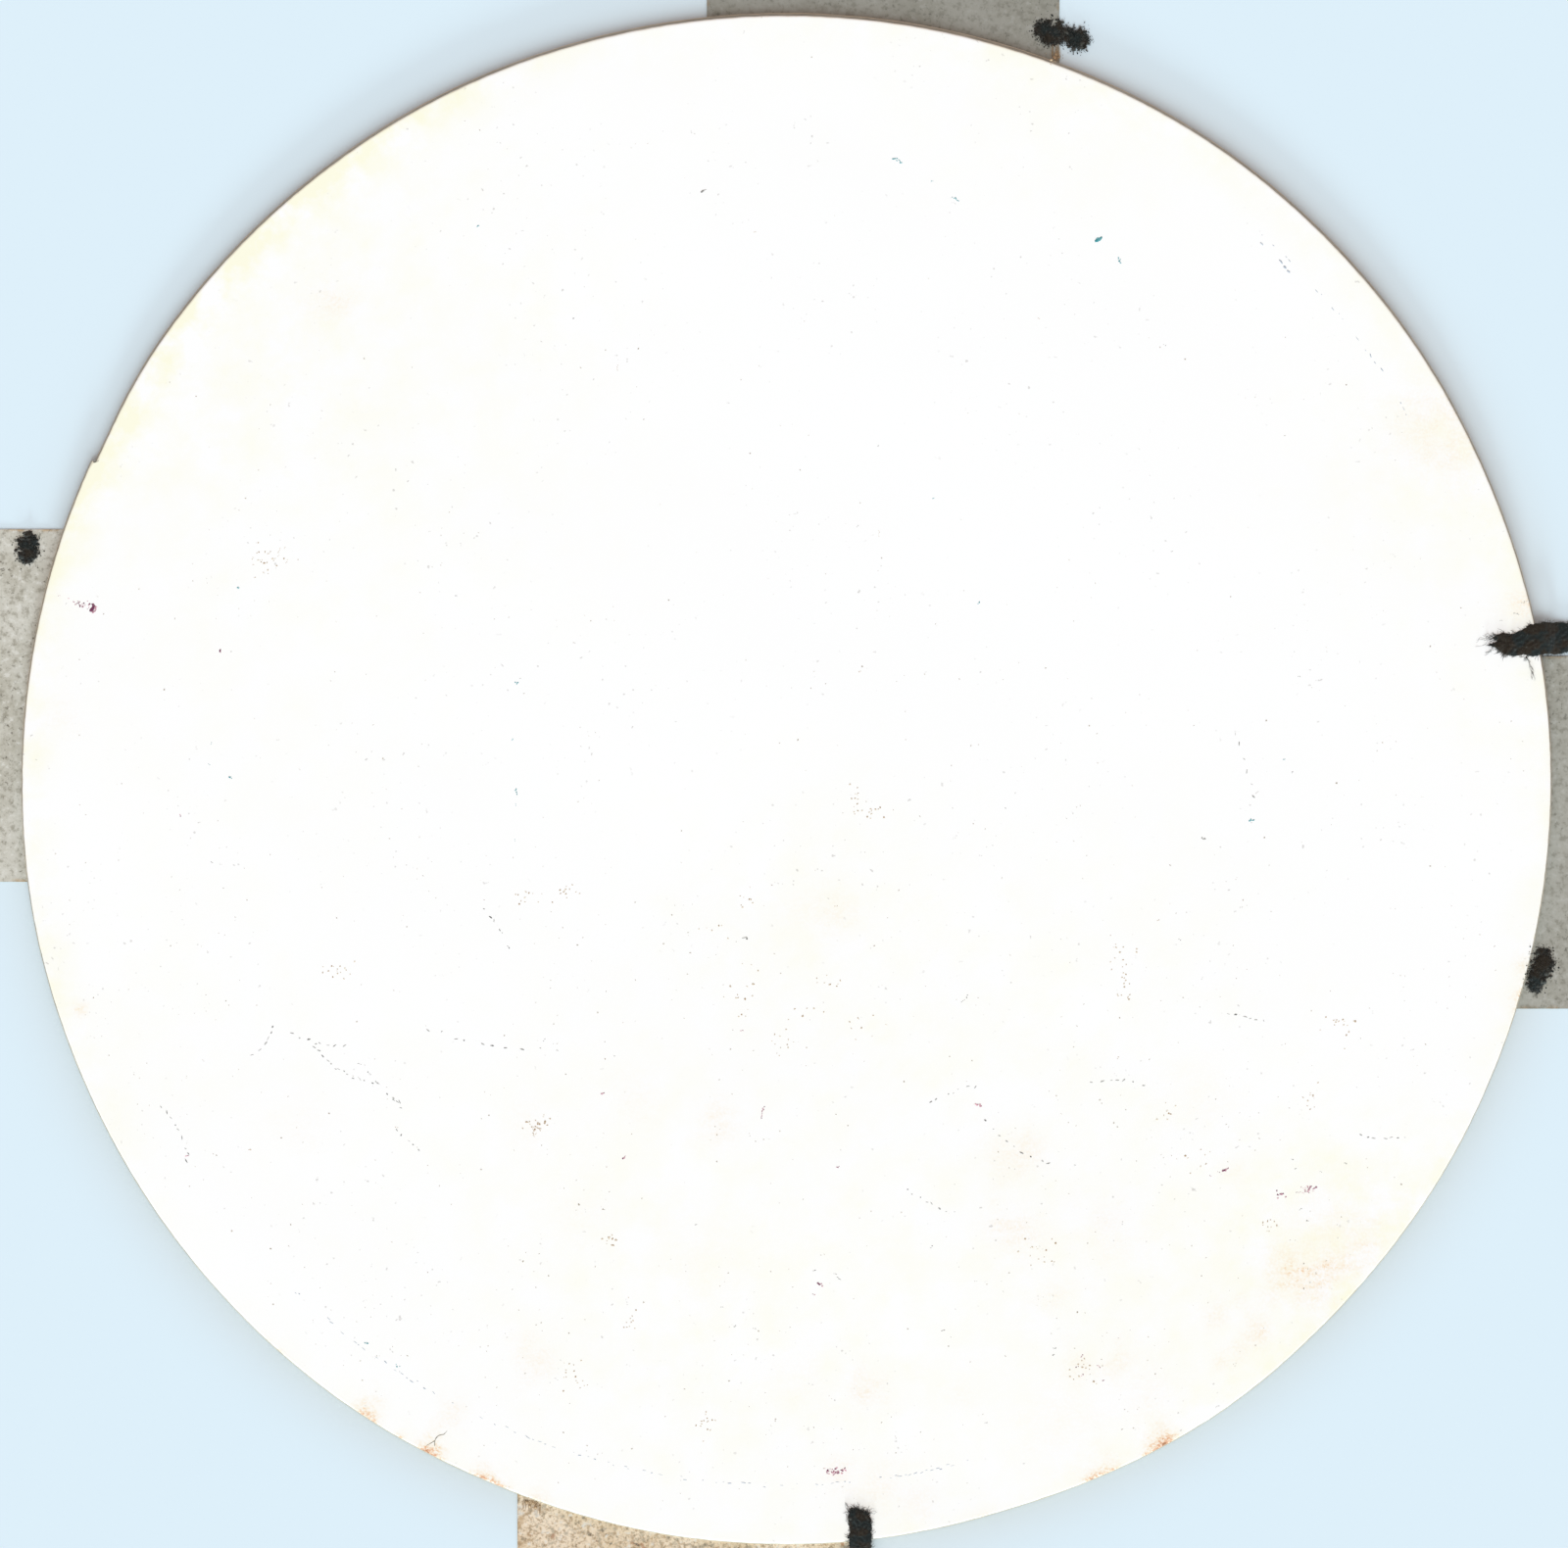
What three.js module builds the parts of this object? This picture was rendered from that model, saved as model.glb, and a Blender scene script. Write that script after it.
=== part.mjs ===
// A hand-cut round template of white-faced board, 220 mm across, with four tabs of wide
// tape on its back. The tabs lie sticky side up and run out past the rim, so that they
// hold the board's face down on the work. Torn black felt and brown fibre cling to them.
//
// Units are millimetres. The origin is under the centre of the disc, on the surface that
// it lies on. +X is east, +Y is north and +Z points out of the white face.

import * as THREE from 'three';

// The board: a white face paper, two pulp plies and a back paper, cut in one go.
const boardRadius = 110;
const facePaperThickness = 0.2;
const corePlyThickness = 0.6;
const backPaperThickness = 0.2;
const rimSteps = 240;

// The knife leaned outwards, so the cut edge slopes and the back is a little wider than
// the face. The lean is how far, and it was greatest on the far, north side of the cut.
const leanLeast = 0.28;
const leanMore = 0.3;

// Where the knife wandered off the line: bearing in degrees, rise in mm, spread in degrees.
const knifeLobes = [
  { bearing: 22, rise: -0.25, spread: 10 },
  { bearing: 57, rise: 0.15, spread: 9 },
  { bearing: 117, rise: 0.13, spread: 10 },
  { bearing: 190, rise: 0.17, spread: 8 },
  { bearing: 247, rise: -0.25, spread: 9 },
  { bearing: 287, rise: -0.27, spread: 7 },
  { bearing: 305, rise: 0.32, spread: 8 },
  { bearing: 330, rise: 0.1, spread: 8 },
];

// The cut ran inside the line as it came round, so it met its own start in a small step.
const cutEndBearing = 155.3;
const cutEndDepth = 0.6;
const cutEndSpread = 6;
const cutStepWidth = 0.1;

// The tape: 2 in wide strips, each set off the centre line in a pinwheel.
const tapeWidth = 50.8;
const tapeThickness = 0.15;
const tapeInnerEnd = 75;
const tapeOuterEnd = 125;
const tapeFreeFrom = 114;
const tapeOffset = { north: 13.9, west: 10.7, south: -13.4, east: -7.6 };

// The scraps that cling to the tabs.
const lapClearance = 0.4;
const feltThickness = 0.6;
const fibreThickness = 0.25;
const rowsPerScrap = 12;

const radians = THREE.MathUtils.degToRad;

// Heights of the layers above the surface that the template lies on.
const backPaperBase = tapeThickness;
const coreBackBase = backPaperBase + backPaperThickness;
const coreFrontBase = coreBackBase + corePlyThickness;
const facePaperBase = coreFrontBase + corePlyThickness;
const faceTop = facePaperBase + facePaperThickness;

function paint(color, roughness) {
  return new THREE.MeshStandardMaterial({ color, roughness, metalness: 0 });
}

function named(name, geometry, material) {
  const mesh = new THREE.Mesh(geometry, material);
  mesh.name = name;
  return mesh;
}

// Radius of the cut edge at a bearing in degrees, counted from +X towards +Y.
function rimRadius(bearing) {
  let radius = boardRadius;
  for (const lobe of knifeLobes) {
    const away = THREE.MathUtils.euclideanModulo(bearing - lobe.bearing + 180, 360) - 180;
    radius += lobe.rise * Math.exp(-((away / lobe.spread) ** 2));
  }
  const beforeEnd = cutEndBearing - bearing;
  if (beforeEnd >= 0) {
    radius -= cutEndDepth * Math.exp(-((beforeEnd / cutEndSpread) ** 2));
  }
  return radius;
}

// Even bearings round the rim, with the two next to the cut's end moved on to its step.
function rimBearings() {
  const step = 360 / rimSteps;
  const before = Math.floor(cutEndBearing / step);
  const bearings = [];
  for (let i = 0; i < rimSteps; i += 1) {
    bearings.push(i * step);
  }
  bearings[before] = cutEndBearing - cutStepWidth / 2;
  bearings[before + 1] = cutEndBearing + cutStepWidth / 2;
  return bearings;
}

// How far the cut edge stands out past the face's rim at a height above the surface.
function leanAt(bearing, height) {
  const northward = Math.max(0, Math.sin(radians(bearing)));
  const depth = (faceTop - height) / (faceTop - backPaperBase);
  return (leanLeast + leanMore * northward) * depth;
}

function polar(radius, bearing) {
  const angle = radians(bearing);
  return new THREE.Vector2(radius * Math.cos(angle), radius * Math.sin(angle));
}

// A flat solid of the given plan outline between two heights.
function slab(points, base, thickness) {
  const shape = new THREE.Shape(points);
  const geometry = new THREE.ExtrudeGeometry(shape, { depth: thickness, bevelEnabled: false });
  geometry.translate(0, 0, base);
  return geometry;
}

// One layer of the board, as wide as the sloping cut edge is at the layer's middle height.
function boardLayer(name, base, thickness, material) {
  const middle = base + thickness / 2;
  const outline = rimBearings().map((bearing) =>
    polar(rimRadius(bearing) + leanAt(bearing, middle), bearing));
  return named(name, slab(outline, base, thickness), material);
}

// A strip seen from its side, from its end under the board to its free end, carried across
// the tape's width. It lies along +X here, and turn swings it round to its own side.
function tapeStrip(name, offset, turn, material) {
  const profile = new THREE.Shape([
    new THREE.Vector2(tapeInnerEnd, 0),
    new THREE.Vector2(tapeFreeFrom, 0),
    new THREE.Vector2(tapeOuterEnd, 0),
    new THREE.Vector2(tapeOuterEnd, tapeThickness),
    new THREE.Vector2(tapeFreeFrom, tapeThickness),
    new THREE.Vector2(tapeInnerEnd, tapeThickness),
  ]);
  const geometry = new THREE.ExtrudeGeometry(profile, { depth: tapeWidth, bevelEnabled: false });
  geometry.rotateX(Math.PI / 2);
  geometry.translate(0, offset + tapeWidth / 2, 0);
  geometry.rotateZ(radians(turn));
  return named(name, geometry, material);
}

// A torn edge's swing, between -1 and 1: two sine waves out of step with each other.
function tear(along, seed) {
  return 0.6 * Math.sin(2.3 * along + seed) + 0.4 * Math.sin(5.9 * along + 2.7 * seed);
}

// A torn scrap stuck flat on a tab: its inner side follows the rim at a gap, and its outer
// side is ragged.
function stuckScrap(name, spot, thickness, material) {
  const inner = [];
  const outer = [];
  for (let row = 0; row <= rowsPerScrap; row += 1) {
    const share = row / rowsPerScrap;
    const bearing = THREE.MathUtils.lerp(spot.from, spot.to, share);
    const near = rimRadius(bearing) + leanAt(bearing, backPaperBase) + spot.gap;
    const swell = Math.sin(Math.PI * (0.1 + 0.8 * share));
    const reach = spot.reach * (swell + 0.25 * tear(row, spot.seed));
    inner.push(polar(near, bearing));
    outer.push(polar(near + Math.max(reach, 0.2), bearing));
  }
  const outline = inner.concat(outer.reverse());
  return named(name, slab(outline, tapeThickness, thickness), material);
}

// A torn strip lapped over the rim: it lies on the face, bends down past the cut edge and
// ends just above the surface. It is drawn from its side and carried across its width.
function lappedScrap(name, spot, material) {
  const rim = spot.rimAt;
  const lift = tapeThickness + lapClearance;
  const profile = new THREE.Shape([
    new THREE.Vector2(spot.from, faceTop),
    new THREE.Vector2(rim, faceTop),
    new THREE.Vector2(rim + 1.4, lift),
    new THREE.Vector2(spot.to, lift),
    new THREE.Vector2(spot.to, lift + feltThickness),
    new THREE.Vector2(rim + 1.9, lift + feltThickness),
    new THREE.Vector2(rim + 0.4, faceTop + feltThickness),
    new THREE.Vector2(spot.from + 1, faceTop + feltThickness),
  ]);
  const geometry = new THREE.ExtrudeGeometry(profile, { depth: spot.width, bevelEnabled: false });
  geometry.rotateX(Math.PI / 2);
  geometry.translate(0, spot.offset + spot.width / 2, 0);
  geometry.rotateZ(radians(spot.turn));
  return named(name, geometry, material);
}

const whitePaper = paint(0xfdfcf4, 0.85);
const greyPulp = paint(0xb3ac9b, 0.95);
const backPaper = paint(0xe6dfcd, 0.9);
const paleTape = paint(0xb0ae9f, 0.35);
const blackFelt = paint(0x2b2b2a, 0.95);
const brownFibre = paint(0xa5784a, 0.9);

const group = new THREE.Group();

group.add(boardLayer('face_paper', facePaperBase, facePaperThickness, whitePaper));
group.add(boardLayer('core_front', coreFrontBase, corePlyThickness, greyPulp));
group.add(boardLayer('core_back', coreBackBase, corePlyThickness, greyPulp));
group.add(boardLayer('back_paper', backPaperBase, backPaperThickness, backPaper));

// A strip that lies along +X has its offset along +Y, which a turn carries round with it.
group.add(tapeStrip('tape_east', tapeOffset.east, 0, paleTape));
group.add(tapeStrip('tape_north', -tapeOffset.north, 90, paleTape));
group.add(tapeStrip('tape_west', -tapeOffset.west, 180, paleTape));
group.add(tapeStrip('tape_south', tapeOffset.south, 270, paleTape));

const stuckFelt = {
  felt_scrap_east_lower: { from: 344.2, to: 347.4, gap: 0.4, reach: 3.0, seed: 1.3 },
  felt_scrap_north_left: { from: 69.6, to: 71.6, gap: 2.0, reach: 4.0, seed: 2.1 },
  felt_scrap_north_right: { from: 67.9, to: 69.2, gap: 2.4, reach: 2.8, seed: 4.6 },
  felt_scrap_west: { from: 161.9, to: 164.2, gap: 1.9, reach: 3.4, seed: 0.4 },
};
for (const [name, spot] of Object.entries(stuckFelt)) {
  group.add(stuckScrap(name, spot, feltThickness, blackFelt));
}

const lappedFelt = {
  felt_scrap_east_upper: { from: 100.6, rimAt: 109.1, to: 113.4, offset: 20.4, width: 4.8, turn: 0 },
  felt_scrap_south: { from: 104.8, rimAt: 110.1, to: 113.6, offset: 10.6, width: 3.4, turn: 270 },
};
for (const [name, spot] of Object.entries(lappedFelt)) {
  group.add(lappedScrap(name, spot, blackFelt));
}

const stuckFibre = {
  fibre_sliver_north: { from: 69.2, to: 69.9, gap: 0.4, reach: 0.9, seed: 3.3 },
  fibre_shred_south: { from: 249.9, to: 251.3, gap: 0.4, reach: 1.6, seed: 5.2 },
};
for (const [name, spot] of Object.entries(stuckFibre)) {
  group.add(stuckScrap(name, spot, fibreThickness, brownFibre));
}

export default group;
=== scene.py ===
# A hand-cut round template of white-faced board, 220 mm across, with four tabs of wide tape on its back.
# The tabs lie sticky side up and run out past the rim. Torn black felt, brown fibre and dust cling to
# them, and the white face is foxed, rubbed and flecked with dried paint.

import bpy
import numpy as np
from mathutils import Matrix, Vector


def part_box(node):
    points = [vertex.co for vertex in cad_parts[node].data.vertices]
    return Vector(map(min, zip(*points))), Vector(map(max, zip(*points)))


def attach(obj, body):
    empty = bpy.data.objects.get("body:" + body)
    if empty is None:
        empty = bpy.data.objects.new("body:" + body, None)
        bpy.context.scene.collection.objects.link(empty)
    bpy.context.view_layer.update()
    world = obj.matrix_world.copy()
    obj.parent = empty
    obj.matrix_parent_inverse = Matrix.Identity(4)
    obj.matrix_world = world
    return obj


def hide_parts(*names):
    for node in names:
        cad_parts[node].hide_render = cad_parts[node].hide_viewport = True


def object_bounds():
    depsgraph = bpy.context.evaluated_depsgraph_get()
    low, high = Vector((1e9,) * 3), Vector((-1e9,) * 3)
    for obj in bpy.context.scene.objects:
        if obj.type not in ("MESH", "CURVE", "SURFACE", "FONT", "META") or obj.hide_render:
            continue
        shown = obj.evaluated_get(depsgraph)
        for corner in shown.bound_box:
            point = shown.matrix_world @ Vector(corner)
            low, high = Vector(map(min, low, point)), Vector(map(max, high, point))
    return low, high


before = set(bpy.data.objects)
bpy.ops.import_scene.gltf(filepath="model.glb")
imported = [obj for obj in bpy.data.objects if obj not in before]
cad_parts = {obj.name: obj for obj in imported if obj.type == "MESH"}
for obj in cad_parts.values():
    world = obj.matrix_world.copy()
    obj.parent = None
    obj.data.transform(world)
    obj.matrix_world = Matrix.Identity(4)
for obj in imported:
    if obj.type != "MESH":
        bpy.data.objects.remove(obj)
cad_low, cad_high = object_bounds()
MM = 0.001


# ---- The studio ----------------------------------------------------------------------------------------
# The template lies on a wide pale blue sheet and is seen square on from above. The sky is even all round.
# A low raking light and a soft one, both from the south, throw the longer shadow off the north rim. Close
# round the board a soft shade is painted into the sheet's colour: a little darker and less blue, least so
# on the north-west.

face_low, face_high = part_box("face_paper")
board_radius = (face_high.x - face_low.x) / 2
face_top = face_high.z

VIEW_WIDTH = 2.052 * board_radius
VIEW_CENTRE = (-0.0035 * board_radius, 0.0076 * board_radius)
LENS = 240.0
SENSOR = 36.0

camera = bpy.data.objects.new("camera", bpy.data.cameras.new("camera"))
camera.data.lens = LENS
camera.data.sensor_width = SENSOR
camera.data.clip_start = 0.01
camera.data.clip_end = 50.0
camera.location = (VIEW_CENTRE[0], VIEW_CENTRE[1], face_top + VIEW_WIDTH * LENS / SENSOR)
bpy.context.scene.collection.objects.link(camera)
bpy.context.scene.camera = camera
bpy.context.scene.view_settings.view_transform = "Standard"


def put(tree, kind, settings=None, **inputs):
    """A new node. Each input is a value, or a socket to link from; an underscore stands for a space."""
    node = tree.nodes.new(kind)
    for key, value in (settings or {}).items():
        setattr(node, key, value)
    for key, value in inputs.items():
        socket = node.inputs[key.replace("_", " ")]
        if isinstance(value, bpy.types.NodeSocket):
            tree.links.new(value, socket)
        else:
            socket.default_value = value
    return node


def sky(light, backdrop):
    """An even, slightly warm sky for light. The camera itself sees the plain backdrop colour in its
    place."""
    world = bpy.data.worlds.new("sky")
    world.use_nodes = True
    tree = world.node_tree
    lit = tree.nodes["Background"]
    lit.inputs["Color"].default_value = (*light, 1.0)
    seen = put(tree, "ShaderNodeBackground", Color=(*backdrop, 1.0), Strength=1.0)
    to_camera = tree.nodes.new("ShaderNodeLightPath").outputs["Is Camera Ray"]
    either = put(tree, "ShaderNodeMixShader", Fac=to_camera)
    tree.links.new(lit.outputs[0], either.inputs[1])
    tree.links.new(seen.outputs[0], either.inputs[2])
    tree.links.new(either.outputs[0], tree.nodes["World Output"].inputs["Surface"])
    bpy.context.scene.world = world


def far_light(name, strength, elevation, spread):
    """A distant, slightly cool light from the south, at this elevation and this wide, both in degrees."""
    light = bpy.data.objects.new(name, bpy.data.lights.new(name, "SUN"))
    light.data.energy = strength
    light.data.angle = np.radians(spread)
    light.data.color = (0.82, 1.0, 1.064)
    light.rotation_euler = (np.radians(90.0 - elevation), 0.0, 0.0)
    bpy.context.scene.collection.objects.link(light)


sky((0.653, 0.556, 0.521), (0.74, 0.88, 0.96))
far_light("raking_light", 1.85, 11.0, 8.0)
far_light("soft_light", 1.95, 45.0, 50.0)


def mesh_piece(name, points, *faces):
    """A mesh object at the origin, from an (n, 3) array of points and arrays of corner numbers."""
    mesh = bpy.data.meshes.new(name)
    mesh.vertices.add(len(points))
    mesh.vertices.foreach_set("co", np.asarray(points, np.float32).ravel())
    corners = np.concatenate([part.ravel() for part in faces]).astype(np.int32)
    sizes = np.concatenate([np.full(len(part), part.shape[1]) for part in faces])
    starts = np.concatenate([[0], np.cumsum(sizes)[:-1]]).astype(np.int32)
    mesh.loops.add(len(corners))
    mesh.loops.foreach_set("vertex_index", corners)
    mesh.polygons.add(len(sizes))
    mesh.polygons.foreach_set("loop_start", starts)
    mesh.polygons.foreach_set("use_smooth", np.ones(len(sizes), bool))
    mesh.update(calc_edges=True)
    mesh.validate()
    piece = bpy.data.objects.new(name, mesh)
    bpy.context.scene.collection.objects.link(piece)
    return piece


def calc(tree, kind, first, second=0.5, third=None, clamp=False):
    """A Math node's output. Each term is a value or a socket."""
    node = tree.nodes.new("ShaderNodeMath")
    node.operation = kind
    node.use_clamp = clamp
    for socket, value in zip(node.inputs, (first, second, third)):
        if isinstance(value, bpy.types.NodeSocket):
            tree.links.new(value, socket)
        elif value is not None:
            socket.default_value = value
    return node.outputs[0]


def mixed(tree, share, below, above, kind="MIX"):
    """A colour part of the way from one to another. Each term is a colour or a socket."""
    node = tree.nodes.new("ShaderNodeMix")
    node.data_type = "RGBA"
    node.blend_type = kind
    for index, value in ((0, share), (6, below), (7, above)):
        if isinstance(value, bpy.types.NodeSocket):
            tree.links.new(value, node.inputs[index])
        else:
            node.inputs[index].default_value = value if index == 0 else (*value, 1.0)
    return node.outputs[2]


# The sheet's own colour, and the colour of the painted shade close round the board, with how far it
# reaches.
SHEET_HALF = 20.0
SHEET_DROP = 0.05 * MM
SHEET_BLUE = (0.66, 0.785, 0.865)
PAINTED_SHADE_BLUE = (0.614, 0.667, 0.692)
PAINTED_SHADE_REACH = 14.0 * MM
NORTH_WEST = (-0.7, 0.7, 0.0)
PAINTED_SHADE_NORTH_WEST = 0.45
sheet_corners = np.array([[-1, -1, 0], [1, -1, 0], [1, 1, 0], [-1, 1, 0]]) * SHEET_HALF
floor = mesh_piece("floor", sheet_corners - [0, 0, SHEET_DROP], np.array([[0, 1, 2, 3]]))
floor.data.materials.append(bpy.data.materials.new("pale_blue_sheet_painted_shade"))
floor.data.materials[0].use_nodes = True
floor_tree = floor.data.materials[0].node_tree
# Painted shade: the sheet goes darker and less blue by the cube of its closeness to the rim, weaker to the
# north-west.
place = put(floor_tree, "ShaderNodeNewGeometry").outputs["Position"]
from_centre = put(floor_tree, "ShaderNodeVectorMath", {"operation": "LENGTH"}, Vector=place)
closeness = put(floor_tree, "ShaderNodeMapRange", Value=from_centre.outputs["Value"],
                From_Min=board_radius + PAINTED_SHADE_REACH, From_Max=board_radius)
north_west = put(floor_tree, "ShaderNodeVectorMath", {"operation": "DOT_PRODUCT"}, Vector=place)
north_west.inputs[1].default_value = NORTH_WEST
strength = put(floor_tree, "ShaderNodeMapRange", Value=north_west.outputs["Value"], From_Min=0.0,
               From_Max=board_radius, To_Min=1.0, To_Max=PAINTED_SHADE_NORTH_WEST)
shade = calc(floor_tree, "POWER", closeness.outputs["Result"], 3.0)
shade = calc(floor_tree, "MULTIPLY", shade, strength.outputs["Result"])
floor_shader = floor_tree.nodes["Principled BSDF"].inputs
floor_tree.links.new(mixed(floor_tree, shade, SHEET_BLUE, PAINTED_SHADE_BLUE), floor_shader["Base Color"])
floor_shader["Roughness"].default_value = 0.9
floor_shader["Specular IOR Level"].default_value = 0.1


# ---- The pulp core -------------------------------------------------------------------------------------
# Two plies of grey-tan wood pulp pasted together, 0.6 mm each, make the board's body. A knife cut them
# freehand with the papers on. It wandered off the line, leaned outwards, and left a furred, layered edge.

COLUMNS = 960
CUT_RADIUS = 110
STEP_BEARING = 155.3
STEP_HALF = 0.04
DIP_DEPTH = 0.6
DIP_SPREAD = 6
SHARP = np.radians(50)
KNIFE_LOBES = (
    (22, -0.25, 10), (57, 0.15, 9), (117, 0.13, 10), (190, 0.17, 8),
    (247, -0.25, 9), (287, -0.27, 7), (305, 0.32, 8), (330, 0.1, 8),
)
LEAN_LEAST = 0.28 * MM
LEAN_MORE = 0.30 * MM
back_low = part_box("back_paper")[0]


def ripple(points, size, seed, waves=16):
    """Smooth noise, mostly between -1 and 1: a sum of sine waves of random heading and phase, each about
    size long. Size is one length, or one for each axis."""
    draw = np.random.default_rng(seed)
    heading = draw.normal(size=(waves, 3))
    heading /= np.linalg.norm(heading, axis=1, keepdims=True)
    heading *= 2 * np.pi / np.broadcast_to(np.asarray(size, float), 3)
    phase = draw.uniform(0, 2 * np.pi, waves)
    return np.sin(points @ heading.T + phase).sum(-1) / np.sqrt(2.0 * waves)


def rim_radius(bearing):
    """The face's radius at a bearing in degrees: the true circle, plus one bell-shaped swell for each
    lobe, less the bell-shaped dip at the end of the cut, which stops short at the step."""
    away = (bearing[..., None] - [lobe[0] for lobe in KNIFE_LOBES] + 180) % 360 - 180
    rise = np.array([lobe[1] for lobe in KNIFE_LOBES])
    spread = np.array([lobe[2] for lobe in KNIFE_LOBES])
    swell = (rise * np.exp(-(away / spread) ** 2)).sum(-1)
    to_step = STEP_BEARING - bearing
    dip = np.where(to_step >= 0, DIP_DEPTH * np.exp(-(to_step / DIP_SPREAD) ** 2), 0)
    flat = np.stack([np.cos(np.radians(bearing)), np.sin(np.radians(bearing)), 0 * bearing], -1)
    nibble = 0.018 * ripple(flat * CUT_RADIUS, 2.2, 5) + 0.012 * ripple(flat * CUT_RADIUS, 0.9, 6)
    return (CUT_RADIUS + swell - dip + nibble) * MM


def lean(bearing, height):
    """How far the cut edge stands out past the face's rim: none at the face, more towards the back."""
    northward = np.maximum(0, np.sin(np.radians(bearing)))
    depth = (face_top - height) / (face_top - back_low.z)
    return (LEAN_LEAST + LEAN_MORE * northward) * depth


def on_rim(bearing, radius, height):
    """Points at these bearings in degrees, radii and heights."""
    angle = np.radians(bearing)
    flat = np.broadcast_arrays(radius * np.cos(angle), radius * np.sin(angle), height)
    return np.stack(flat, -1)


def even_bearings(count):
    """Even bearings all round, with the two beside the cut's step moved close up to it."""
    bearing = np.arange(count) * 360.0 / count
    before = int(STEP_BEARING * count / 360)
    bearing[before] = STEP_BEARING - STEP_HALF
    bearing[before + 1] = STEP_BEARING + STEP_HALF
    return bearing


def ring_faces(rows, columns, first=0):
    """Quads between neighbouring rows of points, each row closed on itself."""
    row, column = np.meshgrid(np.arange(rows - 1), np.arange(columns), indexing="ij")
    after = (column + 1) % columns
    here, below = first + row * columns, first + (row + 1) * columns
    return np.stack([here + column, below + column, below + after, here + after], -1).reshape(-1, 4)


def pole_faces(pole, first, columns, upward):
    """Triangles from a centre point to a closed row of points."""
    column = np.arange(columns)
    after = (column + 1) % columns
    near, far = (column, after) if upward else (after, column)
    return np.stack([np.full(columns, pole), first + near, first + far], -1)


def furred_edge(bearing, height, low, high, seed):
    """How far the cut pulp stands in or out: long flat fibres, a hollow at each pasted face, and small
    pulls."""
    around = on_rim(bearing, board_radius, height)
    fibres = 0.022 * ripple(around / MM, (3.0, 3.0, 0.22), seed)
    pulls = 0.02 * ripple(around / MM, (0.7, 0.7, 0.5), seed + 1)
    middle = 1 - (2 * (height - low) / (high - low) - 1) ** 4
    return (fibres + pulls + 0.03 * middle - 0.05) * MM


def pulp_ply(node, seed):
    """A ply as a profile carried round: flat out from the centre, down the furred edge, and flat back
    in."""
    low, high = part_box(node)
    bearing = even_bearings(COLUMNS)
    side = np.linspace(high.z, low.z, 8)
    inset = np.concatenate([[60, 4, 0.4], np.zeros(8), [0.4, 4, 60]]) * MM
    height = np.concatenate([np.full(3, high.z), side, np.full(3, low.z)])
    grid_bearing, grid_height = np.broadcast_arrays(bearing, height[:, None])
    radius = rim_radius(grid_bearing) + lean(grid_bearing, grid_height) - inset[:, None]
    fur = furred_edge(grid_bearing, grid_height, low.z, high.z, seed)
    radius = radius + np.where(inset[:, None] == 0, fur, 0)
    rings = on_rim(grid_bearing, radius, grid_height).reshape(-1, 3)
    points = np.concatenate([rings, [[0, 0, high.z], [0, 0, low.z]]])
    rows = len(height)
    return mesh_piece(
        node + "_ply",
        points,
        ring_faces(rows, COLUMNS),
        pole_faces(rows * COLUMNS, 0, COLUMNS, True),
        pole_faces(rows * COLUMNS + 1, (rows - 1) * COLUMNS, COLUMNS, False),
    )


def noise(tree, place, scale, detail=3.0, roughness=0.55):
    """A Noise Texture's value at this place."""
    node = put(tree, "ShaderNodeTexNoise", Vector=place, Scale=scale, Detail=detail, Roughness=roughness)
    return node.outputs["Fac"]


def ranged(tree, value, low, high, start=0.0, end=1.0):
    """A value carried smoothly from one range to another, and held at its ends."""
    node = put(tree, "ShaderNodeMapRange", {"interpolation_type": "SMOOTHSTEP"}, Value=value)
    for key, number in (("From Min", low), ("From Max", high), ("To Min", start), ("To Max", end)):
        node.inputs[key].default_value = number
    return node.outputs["Result"]


def stretched(tree, scale=(1.0, 1.0, 1.0)):
    """Object coordinates, scaled along each axis."""
    coords = tree.nodes.new("ShaderNodeTexCoord").outputs["Object"]
    return put(tree, "ShaderNodeMapping", Vector=coords, Scale=scale).outputs["Vector"]


def new_finish(name):
    """A material with only its Principled BSDF, and the tree that holds it."""
    material = bpy.data.materials.new(name)
    material.use_nodes = True
    return material, material.node_tree, material.node_tree.nodes["Principled BSDF"]


def set_shader(tree, shader, bump_strength=None, bump_distance=None, **inputs):
    """Fills the shader's inputs with values or sockets. A Height goes through a Bump node."""
    height = inputs.pop("Height", None)
    if height is not None:
        bump = put(tree, "ShaderNodeBump", Height=height, Strength=bump_strength, Distance=bump_distance)
        tree.links.new(bump.outputs["Normal"], shader.inputs["Normal"])
    for key, value in inputs.items():
        socket = shader.inputs[key.replace("_", " ")]
        if isinstance(value, bpy.types.NodeSocket):
            tree.links.new(value, socket)
        else:
            socket.default_value = value


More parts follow.
